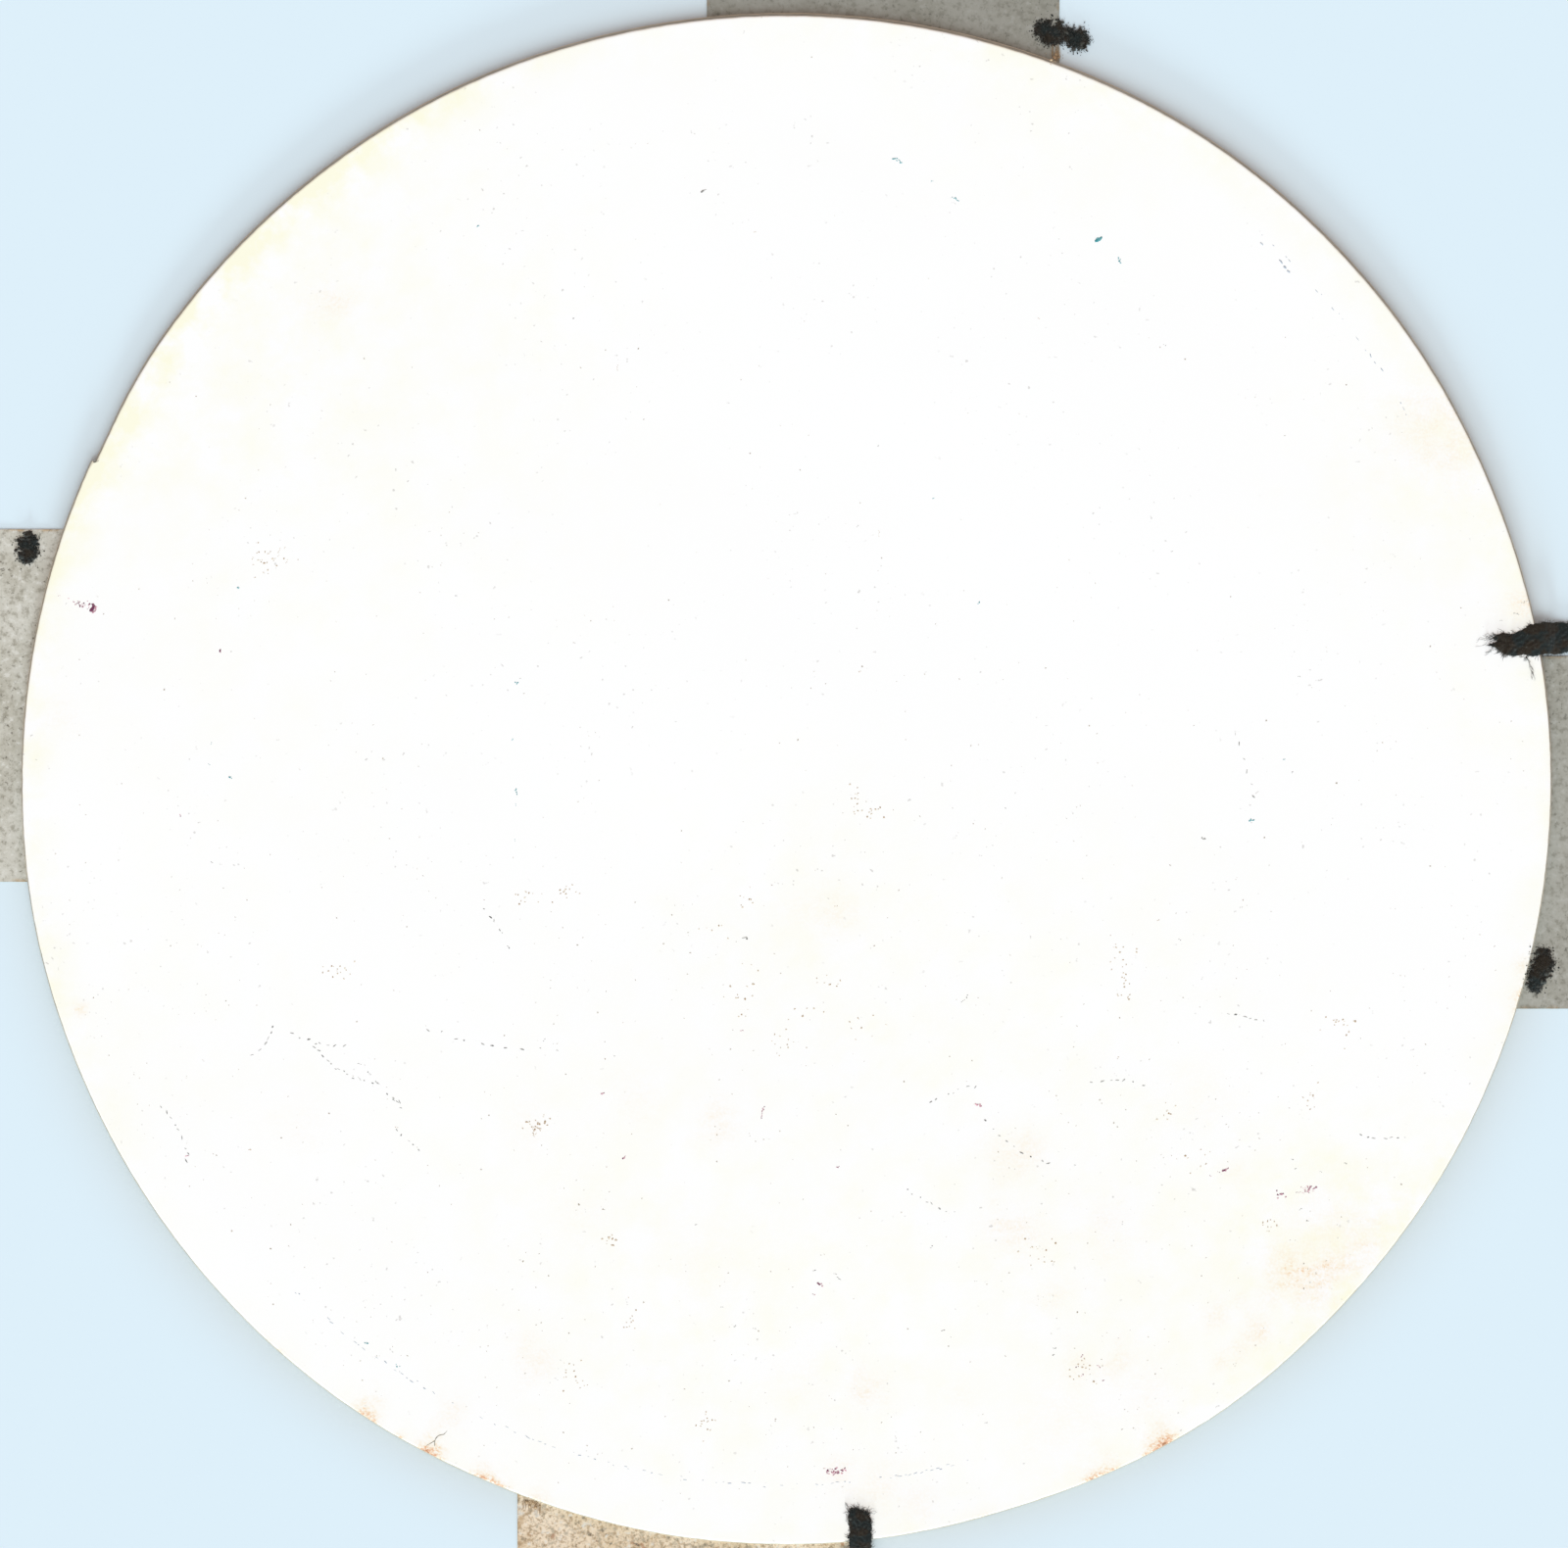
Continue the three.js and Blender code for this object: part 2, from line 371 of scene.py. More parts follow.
def pulp_group():
    """Shared effect: the fibres of paper and pulp board. Flatness squeezes them upright, so that a cut
    edge shows layers. It gives a fibre height and a cloudy mottle."""
    tree = bpy.data.node_groups.new("pulp_fibres", "ShaderNodeTree")
    for name, start in (("Flatness", 1.0), ("Fibre Scale", 2500.0), ("Cloud Scale", 120.0)):
        socket = tree.interface.new_socket(name, in_out="INPUT", socket_type="NodeSocketFloat")
        socket.default_value = start
    for name in ("Fibres", "Clouds"):
        tree.interface.new_socket(name, in_out="OUTPUT", socket_type="NodeSocketFloat")
    entry = tree.nodes.new("NodeGroupInput").outputs
    squeeze = put(tree, "ShaderNodeCombineXYZ", X=1.0, Y=1.0, Z=entry["Flatness"]).outputs[0]
    coords = tree.nodes.new("ShaderNodeTexCoord").outputs["Object"]
    place = put(tree, "ShaderNodeMapping", Vector=coords, Scale=squeeze).outputs["Vector"]
    fine = noise(tree, place, entry["Fibre Scale"], 2.0, 0.6)
    cloud = noise(tree, place, entry["Cloud Scale"], 4.0, 0.6)
    leave = tree.nodes.new("NodeGroupOutput")
    tree.links.new(fine, leave.inputs["Fibres"])
    tree.links.new(cloud, leave.inputs["Clouds"])
    return tree


pulp_fibres = pulp_group()


def pulp_nodes(tree, flatness, fibre_scale, cloud_scale):
    """The shared pulp effect, placed in a material with its own values."""
    node = tree.nodes.new("ShaderNodeGroup")
    node.node_tree = pulp_fibres
    node.inputs["Flatness"].default_value = flatness
    node.inputs["Fibre Scale"].default_value = fibre_scale
    node.inputs["Cloud Scale"].default_value = cloud_scale
    return node.outputs


def grey_pulp():
    """Grey-tan pulp in flat layers, with paler and darker fibres and a little soot from handling."""
    material, tree, shader = new_finish("grey_pulp")
    pulp = pulp_nodes(tree, 9.0, 900.0, 60.0)
    streaks = noise(tree, stretched(tree, (1.0, 1.0, 30.0)), 260.0, 3.0, 0.7)
    colour = mixed(tree, ranged(tree, streaks, 0.3, 0.7), (0.285, 0.272, 0.23), (0.54, 0.515, 0.445))
    colour = mixed(tree, ranged(tree, pulp["Fibres"], 0.58, 0.75, 0.0, 0.55), colour, (0.72, 0.69, 0.62))
    colour = mixed(tree, ranged(tree, pulp["Clouds"], 0.5, 0.8, 0.0, 0.4), colour, (0.27, 0.22, 0.16))
    set_shader(tree, shader, 0.7, 0.05 * MM, Base_Color=colour, Roughness=0.95, Specular_IOR_Level=0.15,
               Height=pulp["Fibres"])
    return material


core_finish = grey_pulp()
for node, seed in (("core_back", 21), ("core_front", 31)):
    ply = pulp_ply(node, seed)
    ply.data.set_sharp_from_angle(angle=SHARP)
    ply.data.materials.append(core_finish)
    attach(ply, "root")
    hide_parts(node)


# ---- The back paper ------------------------------------------------------------------------------------
# A cream sheet, 0.2 mm thick, closes the back of the board and keeps it flat. It is plain, toned by age
# at its rim, and rubbed. The tape is stuck to it.

ROW_CROWDING = 1.35
RIM_PULL = 16


def paper_round(node, top_side, edge_step, grid_half, height_at):
    """A sheet as one closed body. Its seen side is a square grid carried on to a disc: each square ring
    of the grid becomes a round ring, so the cells stay even but for closer rows at the rim. From the rim
    the rows go over the cut edge and flat in to the centre of the other side. height_at(x, y) lifts the
    seen side."""
    low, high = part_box(node)
    seen, hidden = (high.z, low.z) if top_side else (low.z, high.z)
    side = np.linspace(-1, 1, 2 * grid_half + 1)
    across, along = np.meshgrid(side, side)
    wide = np.abs(across) >= np.abs(along)
    safe_across = np.where(across == 0, 1, across)
    safe_along = np.where(along == 0, 1, along)
    ring = np.where(wide, across, along)
    turn = np.where(wide, along / safe_across, 2 - across / safe_along) * np.pi / 4
    bearing = np.degrees(np.arctan2(ring * np.sin(turn), ring * np.cos(turn))) % 360
    ring = np.abs(ring)
    edge = ring > 1 - 0.5 / grid_half
    ring = 1 - (1 - ring) ** ROW_CROWDING
    around = 8 * grid_half
    nearest = np.rint(bearing * around / 360).astype(int) % around
    bearing = np.where(edge, even_bearings(around)[nearest], bearing)
    true_rim = rim_radius(bearing) + lean(bearing, seen) - edge_step
    plain_rim = CUT_RADIUS * MM - edge_step
    radius = ring * plain_rim + (true_rim - plain_rim) * ring ** RIM_PULL
    grid = on_rim(bearing, radius, seen)
    grid[..., 2] += height_at(grid[..., 0], grid[..., 1])
    count = 2 * grid_half + 1
    index = np.arange(count * count).reshape(count, count)
    corner = (index[:-1, :-1], index[:-1, 1:], index[1:, 1:], index[1:, :-1])
    tops = np.stack(corner if top_side else corner[::-1], -1).reshape(-1, 4)

    loop = np.concatenate([index[0, :-1], index[:-1, -1], index[-1, :0:-1], index[:0:-1, 0]])
    loop = np.roll(loop, -int(np.argmin(bearing.ravel()[loop])))
    around = bearing.ravel()[loop]
    lift = grid.reshape(-1, 3)[loop, 2] - seen
    depth = seen - hidden
    share = np.array([0.12, 0.4, 0.75, 1.0, 1.0, 1.0])
    inset = np.array([0.35 * edge_step, 0.0, 0.0, 0.0, 30 * MM, 80 * MM])
    height = seen - share[:, None] * depth + (1 - share[:, None]) * lift
    fray = 0.012 * MM * ripple(on_rim(around, board_radius, seen) / MM, 0.6, 9)
    wide_at = rim_radius(around) + lean(around, height) - inset[:, None] + fray * (inset[:, None] < MM)
    rows = on_rim(around, wide_at, height)
    points = np.concatenate([grid.reshape(-1, 3), rows.reshape(-1, 3), [[0, 0, hidden]]])
    first = count * count
    columns = len(loop)
    here, after = np.arange(columns), (np.arange(columns) + 1) % columns
    join = np.stack([loop[here], first + here, first + after, loop[after]], -1)
    sides = ring_faces(len(share), columns, first)
    pole = pole_faces(len(points) - 1, first + (len(share) - 1) * columns, columns, False)
    if not top_side:
        join, sides, pole = join[:, ::-1], sides[:, ::-1], pole[:, ::-1]
    return mesh_piece(node + "_sheet", points, tops, join, sides, pole)


def pressed_flat(x, y):
    """No lift anywhere: the back lies flat on the tape and the work."""
    return 0 * x


def cream_paper():
    """Cream backing paper, toned brown at the rim, mottled and rubbed."""
    material, tree, shader = new_finish("cream_paper")
    pulp = pulp_nodes(tree, 1.0, 1800.0, 45.0)
    coords = tree.nodes.new("ShaderNodeTexCoord").outputs["Object"]
    flat = put(tree, "ShaderNodeVectorMath", {"operation": "MULTIPLY"}, Vector=coords)
    flat.inputs[1].default_value = (1.0, 1.0, 0.0)
    out = put(tree, "ShaderNodeVectorMath", {"operation": "LENGTH"}, Vector=flat.outputs[0])
    rim = ranged(tree, out.outputs["Value"], 80 * MM, 112 * MM)
    tone = calc(tree, "MULTIPLY_ADD", rim, 0.26, pulp["Clouds"], clamp=True)
    colour = mixed(tree, ranged(tree, tone, 0.35, 1.0), (0.83, 0.79, 0.69), (0.60, 0.50, 0.36))
    colour = mixed(tree, ranged(tree, pulp["Fibres"], 0.6, 0.72, 0.0, 0.3), colour, (0.52, 0.45, 0.34))
    set_shader(tree, shader, 0.4, 0.04 * MM, Base_Color=colour, Roughness=0.9, Specular_IOR_Level=0.2,
               Height=pulp["Fibres"])
    return material


back = paper_round("back_paper", False, 0.02 * MM, 40, pressed_flat)
back.data.set_sharp_from_angle(angle=SHARP)
back.data.materials.append(cream_paper())
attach(back, "root")
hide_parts("back_paper")


# ---- The face paper ------------------------------------------------------------------------------------
# White drawing paper, 0.2 mm thick, pasted on the front. It has dried a little wavy. Damp has foxed it
# and toned it cream, most along the rim, and rust has crept in from the edge at the south.

RIM_RUST = (
    # bearing in degrees, half length along the rim and depth inwards in mm, and strength
    (236.8, 1.4, 1.0, 0.80), (235.9, 1.1, 1.7, 0.32), (239.6, 0.7, 0.4, 0.40), (242.1, 1.5, 1.0, 0.95),
    (241.4, 0.9, 1.7, 0.35), (243.0, 0.6, 0.5, 0.50), (247.0, 1.7, 0.7, 0.75), (246.1, 1.2, 1.3, 0.30),
    (248.3, 0.9, 0.4, 0.35), (294.3, 2.0, 0.8, 0.60), (293.2, 1.1, 0.4, 0.45), (295.4, 0.9, 1.3, 0.25),
    (299.3, 1.6, 1.1, 0.80), (300.1, 1.2, 1.9, 0.45), (298.4, 1.2, 0.5, 0.55), (343.5, 2.2, 0.5, 0.30),
    (13.6, 1.6, 2.6, 0.16), (251.0, 1.6, 1.0, 0.22), (285.0, 2.2, 0.4, 0.14), (228.0, 2.6, 0.3, 0.16),
)
STAINS = (
    # east, north, size and strength; east and north in mm from the centre
    (71.5, -70.6, 2.6, 0.20), (73.6, -71.6, 2.0, 0.26), (76.3, -71.2, 2.4, 0.20),
    (79.6, -69.6, 2.2, 0.17), (83.4, -67.2, 1.9, 0.17), (75.0, -68.0, 5.5, 0.07),
    (70.4, -73.4, 1.6, 0.13), (66.6, -80.4, 1.3, 0.24), (67.6, -78.2, 1.4, 0.24),
    (64.6, -81.8, 1.2, 0.16), (68.6, -80.0, 1.1, 0.16), (62.6, -83.8, 1.3, 0.17),
    (62.0, -77.0, 1.5, 0.16), (65.2, -75.4, 1.0, 0.12), (31.8, -64.8, 2.4, 0.13),
    (38.4, -74.6, 2.0, 0.12), (48.3, -84.1, 1.8, 0.14), (41.9, -84.5, 2.0, 0.13),
    (11.3, -88.3, 1.4, 0.24), (12.4, -87.8, 2.6, 0.10), (-36.4, -84.5, 2.6, 0.14),
    (-37.4, -81.5, 2.0, 0.08), (-64.6, 68.5, 1.4, 0.17), (-66.2, 68.9, 3.0, 0.08),
    (-9.6, -50.7, 2.4, 0.12), (-10.4, -48.0, 2.0, 0.10), (-101.9, -33.0, 1.0, 0.30),
    (105.9, -26.7, 1.1, 0.22), (92.7, 51.6, 5.5, 0.13), (96.4, 47.0, 4.0, 0.10),
    (13.3, -101.8, 3.0, 0.12), (19.0, -103.4, 2.4, 0.10), (31.8, -54.0, 3.4, 0.12),
    (35.4, -53.4, 2.0, 0.12), (-48.0, -91.0, 1.8, 0.16), (106.0, 24.6, 1.8, 0.14),
    (5.0, -18.6, 5.0, 0.05), (7.6, -19.4, 2.6, 0.06), (-103.9, 9.0, 3.0, 0.06), (-37.0, -50.0, 3.0, 0.06),
    (64.4, -56.6, 1.6, 0.10), (7.3, -99.7, 2.0, 0.16), (25.0, -89.0, 2.0, 0.06), (46.0, -63.0, 2.0, 0.06),
    (81.0, -64.0, 5.0, 0.07), (77.0, -74.0, 4.0, 0.07), (46.5, -66.0, 5.0, 0.05),
    (34.0, -66.0, 4.0, 0.08), (40.0, -92.0, 6.0, 0.05), (52.0, -88.0, 4.0, 0.06), (2.0, -86.0, 5.0, 0.04),
    (-12.0, -70.0, 6.0, 0.03), (-22.0, -46.0, 4.0, 0.05), (-30.0, -62.0, 4.0, 0.04),
    (-70.0, -50.0, 4.0, 0.04), (60.0, -45.0, 5.0, 0.04),
)
TONES = (
    # the same for the cream patches
    (-76, 66, 26, 0.55), (-95, 50, 14, 0.35), (-62, 90, 14, 0.35), (-15, 106, 16, 0.14),
    (20, 105, 16, 0.12), (-50, 45, 28, 0.16), (-80, 10, 24, 0.16), (2, -19, 16, 0.40),
    (-30, -60, 30, 0.30), (20, -75, 34, 0.30), (60, -70, 26, 0.38), (-88, -38, 18, 0.22),
    (95, 45, 16, 0.62), (104, 10, 12, 0.30), (-10, -88, 26, 0.24), (50, -20, 20, 0.16),
    (45, 100, 18, 0.30), (30, -35, 20, 0.20), (82, -66, 14, 1.10), (-34, 68, 10, 0.25),
)
RIM_TONES = (
    # bearing in degrees, and how strongly the rim there has gone cream
    (0, 0.50), (45, 0.55), (75, 0.45), (98, 0.15), (108, 0.5), (122, 1.5), (140, 2.3), (152, 1.9),
    (164, 1.0), (180, 1.0), (203, 0.6), (218, 0.05), (240, 0.3), (262, 0.15), (285, 0.4), (302, 0.5),
    (322, 0.65), (342, 0.5), (360, 0.50),
)


def blots(x, y, spots, raggedness, seed):
    """Soft blots: for each spot, its strength times a bell of the distance, with the distance made
    uneven."""
    place = np.stack([x, y, 0 * x], -1) / MM
    uneven = 1 + raggedness * ripple(place, 2.4, seed) + raggedness * ripple(place, 6.0, seed + 1)
    total = 0 * x
    for east, north, size, strength in spots:
        away = np.hypot(x / MM - east, y / MM - north) * uneven
        total = total + strength * np.exp(-(away / size) ** 2)
    return total


def rim_rust(x, y):
    """Rust that crept in from the cut edge: for each spot a bell along the rim times an exponential fall
    inwards, with the spot's depth uneven along it, and a faint line along the whole rim."""
    bearing = np.degrees(np.arctan2(y, x)) % 360
    inward = np.clip(rim_radius(bearing) - np.hypot(x, y), 0, 1) / MM
    place = np.stack([x, y, 0 * x], -1) / MM
    uneven = 1 + 0.4 * ripple(place, 1.2, 45) + 0.3 * ripple(place, 2.9, 46)
    total = 0.13 * np.exp(-inward / 0.12)
    for at, half, depth, strength in RIM_RUST:
        along = np.radians((bearing - at + 180) % 360 - 180) * CUT_RADIUS
        total = total + strength * np.exp(-(along / half) ** 2 - inward / (depth * np.clip(uneven, 0.3, 2)))
    return total


def cockle(x, y):
    """The face's waves: a broad swell and a few shallow ones, which fade out before the rim."""
    place = np.stack([x, y, 0 * x], -1) / MM
    inward = np.clip((board_radius - np.hypot(x, y)) / (6 * MM), 0, 1)
    return (0.030 * ripple(place, 55, 11) + 0.010 * ripple(place, 17, 12)) * MM * (0.35 + 0.65 * inward)


def write_attribute(piece, name, values):
    """Stores one number for each point of a piece's mesh."""
    layer = piece.data.attributes.new(name, "FLOAT", "POINT")
    layer.data.foreach_set("value", np.asarray(values, np.float32).ravel())


def read_attribute(tree, name):
    """The number stored for each point."""
    node = tree.nodes.new("ShaderNodeAttribute")
    node.attribute_name = name
    return node.outputs["Fac"]


def white_paper():
    """White paper, toned cream in clouds, foxed orange-brown where the stains are, with a fine grey
    speckle."""
    material, tree, shader = new_finish("white_paper")
    pulp = pulp_nodes(tree, 1.0, 2300.0, 150.0)
    place = stretched(tree)
    tone = read_attribute(tree, "toned")
    broken = calc(tree, "MULTIPLY_ADD", pulp["Clouds"], 3.4, -1.25, clamp=True)
    cream_share = calc(tree, "MULTIPLY", tone, broken, clamp=True)
    colour = mixed(tree, cream_share, (0.900, 0.900, 0.900), (0.888, 0.875, 0.71))

    grain = noise(tree, place, 2400.0, 3.0, 0.75)
    patchy = noise(tree, stretched(tree, (1.0, 2.6, 1.0)), 420.0, 4.0, 0.65)
    grainy = ranged(tree, grain, 0.30, 0.70, 0.15, 1.75)
    stain = calc(tree, "MULTIPLY", read_attribute(tree, "stained"), grainy)
    stain = calc(tree, "MULTIPLY", stain, ranged(tree, patchy, 0.32, 0.62, 0.45, 1.35))
    colour = mixed(tree, calc(tree, "MULTIPLY", stain, 2.0, clamp=True), colour, (0.865, 0.745, 0.575))
    colour = mixed(tree, ranged(tree, stain, 0.25, 1.0), colour, (0.75, 0.42, 0.26))
    colour = mixed(tree, ranged(tree, stain, 0.75, 1.5, 0.0, 0.8), colour, (0.36, 0.17, 0.09))

    speck = noise(tree, place, 1500.0, 1.0, 0.4)
    patch = ranged(tree, noise(tree, place, 42.0, 2.0, 0.6), 0.42, 0.62)
    speckle = calc(tree, "MULTIPLY", ranged(tree, speck, 0.74, 0.80, 0.0, 0.5), patch)
    colour = mixed(tree, speckle, colour, (0.42, 0.40, 0.38))
    set_shader(tree, shader, 0.10, 0.03 * MM, Base_Color=colour, Roughness=0.88, Specular_IOR_Level=0.2,
               Height=pulp["Fibres"])
    return material


face = paper_round("face_paper", True, 0.10 * MM, 120, cockle)
face_points = np.empty(len(face.data.vertices) * 3)
face.data.vertices.foreach_get("co", face_points)
face_x, face_y = face_points.reshape(-1, 3).T[:2]
rim_band = np.clip(1 - (board_radius - np.hypot(face_x, face_y)) / (7 * MM), 0, 1) ** 1.5
face_bearing = np.degrees(np.arctan2(face_y, face_x)) % 360
rim_tone = np.interp(face_bearing, *np.array(RIM_TONES).T)
write_attribute(face, "stained", 0.68 * blots(face_x, face_y, STAINS, 0.22, 41) + rim_rust(face_x, face_y))
write_attribute(face, "toned", 0.75 * blots(face_x, face_y, TONES, 0.12, 51) + rim_band * rim_tone)
face.data.set_sharp_from_angle(angle=SHARP)
face.data.materials.append(white_paper())
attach(face, "root")
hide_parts("face_paper")


# ---- The tape ------------------------------------------------------------------------------------------
# Four strips of 2 in packing tape, torn off on a saw-toothed dispenser. Each is stuck to the back with
# its sticky side up and runs out past the rim. The free ends have curled a little and gone grey-beige,
# and brown at the edges.

TAPE_THICK = 0.15 * MM
TAPE_START = 75 * MM
TAPE_FREE = 112 * MM
TAPE_END = 125 * MM
TAPE_ROWS = 120
TAPE_COLUMNS = 161
MOST_LIFT = 1.4 * MM
TOOTH_PITCH = 1.27 * MM
TOOTH_DEPTH = 0.5 * MM


def closed_sheet(top, bottom):
    """Points and faces of a closed body: two grids of points, one over the other, joined round their
    border. The faces are turned over if the body comes out inside out."""
    rows, columns = top.shape[:2]
    index = np.arange(rows * columns).reshape(rows, columns)
    cells = np.stack([index[:-1, :-1], index[1:, :-1], index[1:, 1:], index[:-1, 1:]], -1).reshape(-1, 4)
    border = np.concatenate([index[:-1, 0], index[-1, :-1], index[:0:-1, -1], index[0, :0:-1]])
    after = np.roll(border, -1)
    under = rows * columns
    walls = np.stack([border, border + under, after + under, after], -1)
    points = np.concatenate([top.reshape(-1, 3), bottom.reshape(-1, 3)])
    quads = np.concatenate([cells, cells[:, ::-1] + under, walls])
    first, second, third = points[quads[:, 0]], points[quads[:, 1]], points[quads[:, 2]]
    fourth = points[quads[:, 3]]
    double = np.cross(second, third) + np.cross(third, fourth)
    if (first * double).sum() < 0:
        quads = quads[:, ::-1]
    return points, quads


def saw_teeth(across):
    """A zigzag between 0 and 1 along the cut: the distance to the nearest tooth, over half the pitch."""
    phase = across / TOOTH_PITCH
    return np.abs(phase - np.rint(phase)) * 2


def tape_strip(node, outward, seed, browning, grime_and_shade):
    """A strip as a fine grid, laid out along its own length and carried to its side of the board. Past
    the rim it lifts by wrinkles and by a curl that grows with the square of the distance."""
    low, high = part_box(node)
    along_x = outward[0] != 0
    near, far = (low.y, high.y) if along_x else (low.x, high.x)
    across = np.linspace(near, far, TAPE_COLUMNS)
    share = np.linspace(0, 1, TAPE_ROWS)[:, None]
    teeth = saw_teeth(across) * TOOTH_DEPTH
    out = TAPE_START + TOOTH_DEPTH - teeth + share * (TAPE_END - TAPE_START - TOOTH_DEPTH)
    side = np.broadcast_to(across, out.shape)
    free = np.clip((out - TAPE_FREE) / (TAPE_END - TAPE_FREE), 0, 1)
    place = np.stack([out, side, 0 * out], -1) / MM
    wrinkles = 0.5 + 0.5 * ripple(place, (4.5, 13.0, 1.0), seed)
    curl = 0.75 + 0.35 * ripple(place, (60.0, 24.0, 1.0), seed + 1)
    lift = (0.10 * wrinkles * np.minimum(1, 4 * free) + 0.75 * curl * free ** 2) * MM
    lift = np.clip(lift, 0, MOST_LIFT)
    flat = (out * outward[0], side) if along_x else (side, out * outward[1])
    grain = 0.004 * MM * ripple(place, 0.8, seed + 2)
    points, quads = closed_sheet(
        np.stack([*flat, lift + TAPE_THICK + grain], -1),
        np.stack([*flat, lift], -1),
    )
    strip = mesh_piece(node + "_strip", points, quads)
    edge = np.clip(1 - np.minimum(side - near, far - side) / ((0.7 + 2.0 * browning) * MM), 0, 1)
    write_attribute(strip, "edge", np.tile(edge.ravel(), 2))
    write_attribute(strip, "browned", np.full(len(points), browning))
    # How far the whole strip is darkened: partly grime, and partly painted shade.
    write_attribute(strip, "grimy_and_shaded", np.full(len(points), grime_and_shade))
    write_attribute(strip, "film_back", np.arange(len(points)) >= len(points) // 2)
    return strip


def aged_adhesive():
    """The sticky side: grey-beige film with dirt in clouds and specks, brown streaks along the edges, and
    a blistered surface. Browned strips go towards tan with rusty specks. The back of the film is cleaner
    and glossy."""
    material, tree, shader = new_finish("aged_adhesive")
    place = stretched(tree)
    cloud = noise(tree, place, 130.0, 5.0, 0.65)
    fine = noise(tree, place, 1500.0, 3.0, 0.7)
    blister = noise(tree, place, 520.0, 4.0, 0.6)
    colour = mixed(tree, ranged(tree, cloud, 0.35, 0.68), (0.57, 0.555, 0.495), (0.45, 0.43, 0.365))
    tan = mixed(tree, ranged(tree, cloud, 0.35, 0.65), (0.82, 0.68, 0.515), (0.69, 0.54, 0.36))
    browned = read_attribute(tree, "browned")
    colour = mixed(tree, browned, colour, tan)
    edge = calc(tree, "MULTIPLY", read_attribute(tree, "edge"), ranged(tree, blister, 0.35, 0.7, 0.25, 1.3))
    colour = mixed(tree, ranged(tree, edge, 0.15, 1.1, 0.0, 0.85), colour, (0.44, 0.285, 0.14))
    grain = noise(tree, place, 1900.0, 3.0, 0.75)
    rusty = calc(tree, "MULTIPLY", browned, ranged(tree, blister, 0.62, 0.70, 0.0, 0.8))
    colour = mixed(tree, rusty, colour, (0.36, 0.15, 0.07))
    peppered = calc(tree, "MULTIPLY", browned, ranged(tree, grain, 0.47, 0.62, 0.0, 0.75))
    colour = mixed(tree, peppered, colour, (0.30, 0.185, 0.085))
    mottle = noise(tree, place, 900.0, 4.0, 0.7)
    colour = mixed(tree, ranged(tree, mottle, 0.50, 0.66, 0.0, 0.6), colour, (0.22, 0.20, 0.15))
    dirt = calc(tree, "MULTIPLY", ranged(tree, fine, 0.57, 0.68), ranged(tree, cloud, 0.40, 0.6, 0.35, 1.0))
    colour = mixed(tree, calc(tree, "MULTIPLY", dirt, 0.85), colour, (0.10, 0.085, 0.06))
    colour = mixed(tree, ranged(tree, mottle, 0.46, 0.34, 0.0, 0.75), colour, (0.66, 0.65, 0.60))
    # Whole strips darkened towards grey-black: partly grime, and partly painted shade on the north and east
    # strips.
    colour = mixed(tree, read_attribute(tree, "grimy_and_shaded"), colour, (0.155, 0.16, 0.14))
    back = read_attribute(tree, "film_back")
    film = mixed(tree, browned, (0.46, 0.44, 0.38), (0.55, 0.42, 0.27))
    colour = mixed(tree, calc(tree, "MULTIPLY", back, 0.8), colour, film)
    rough = calc(tree, "MULTIPLY", ranged(tree, fine, 0.35, 0.7, 0.42, 0.85),
                 calc(tree, "MULTIPLY_ADD", back, -0.6, 1.0))
    relief = calc(tree, "MULTIPLY", blister, calc(tree, "MULTIPLY_ADD", back, -0.85, 1.0))
    set_shader(tree, shader, 0.35, 0.05 * MM, Base_Color=colour, Specular_IOR_Level=0.35, Height=relief,
               Roughness=rough)
    return material


tape_finish = aged_adhesive()
TAPE_SIDES = (
    # node, outward, seed, how far it has browned, and how far it is darkened, partly by grime and partly by
    # painted shade
    ("tape_north", (0, 1), 61, 0.0, 0.64), ("tape_west", (-1, 0), 71, 0.0, 0.0),
    ("tape_south", (0, -1), 81, 0.9, 0.0), ("tape_east", (1, 0), 91, 0.0, 0.50),
)
for node, *look in TAPE_SIDES:
    strip = tape_strip(node, *look)
    strip.data.set_sharp_from_angle(angle=SHARP)
    strip.data.materials.append(tape_finish)
    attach(strip, "root")
    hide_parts(node)


# ---- The black felt ------------------------------------------------------------------------------------
# Torn bits of black felt caught on the sticky tabs. Two are strips lapped over the rim on to the face,
# and four are tufts beside it. They are matted wool with a loose nap, and longer hairs stray from the
# torn ends.

FIBRE_RINGS = 8
FIBRE_SIDES = 3
CRUMB_SIDES = 6
CRUMB_SHARES = (0.06, 0.36)


def resting_height(x, y):
    """The surface under a loose fibre: the face within the rim, and the tape outside it."""
    bearing = np.degrees(np.arctan2(y, x)) % 360
    inside = np.hypot(x, y) < rim_radius(bearing) + lean(bearing, back_low.z)
    return np.where(inside, face_top, TAPE_THICK)


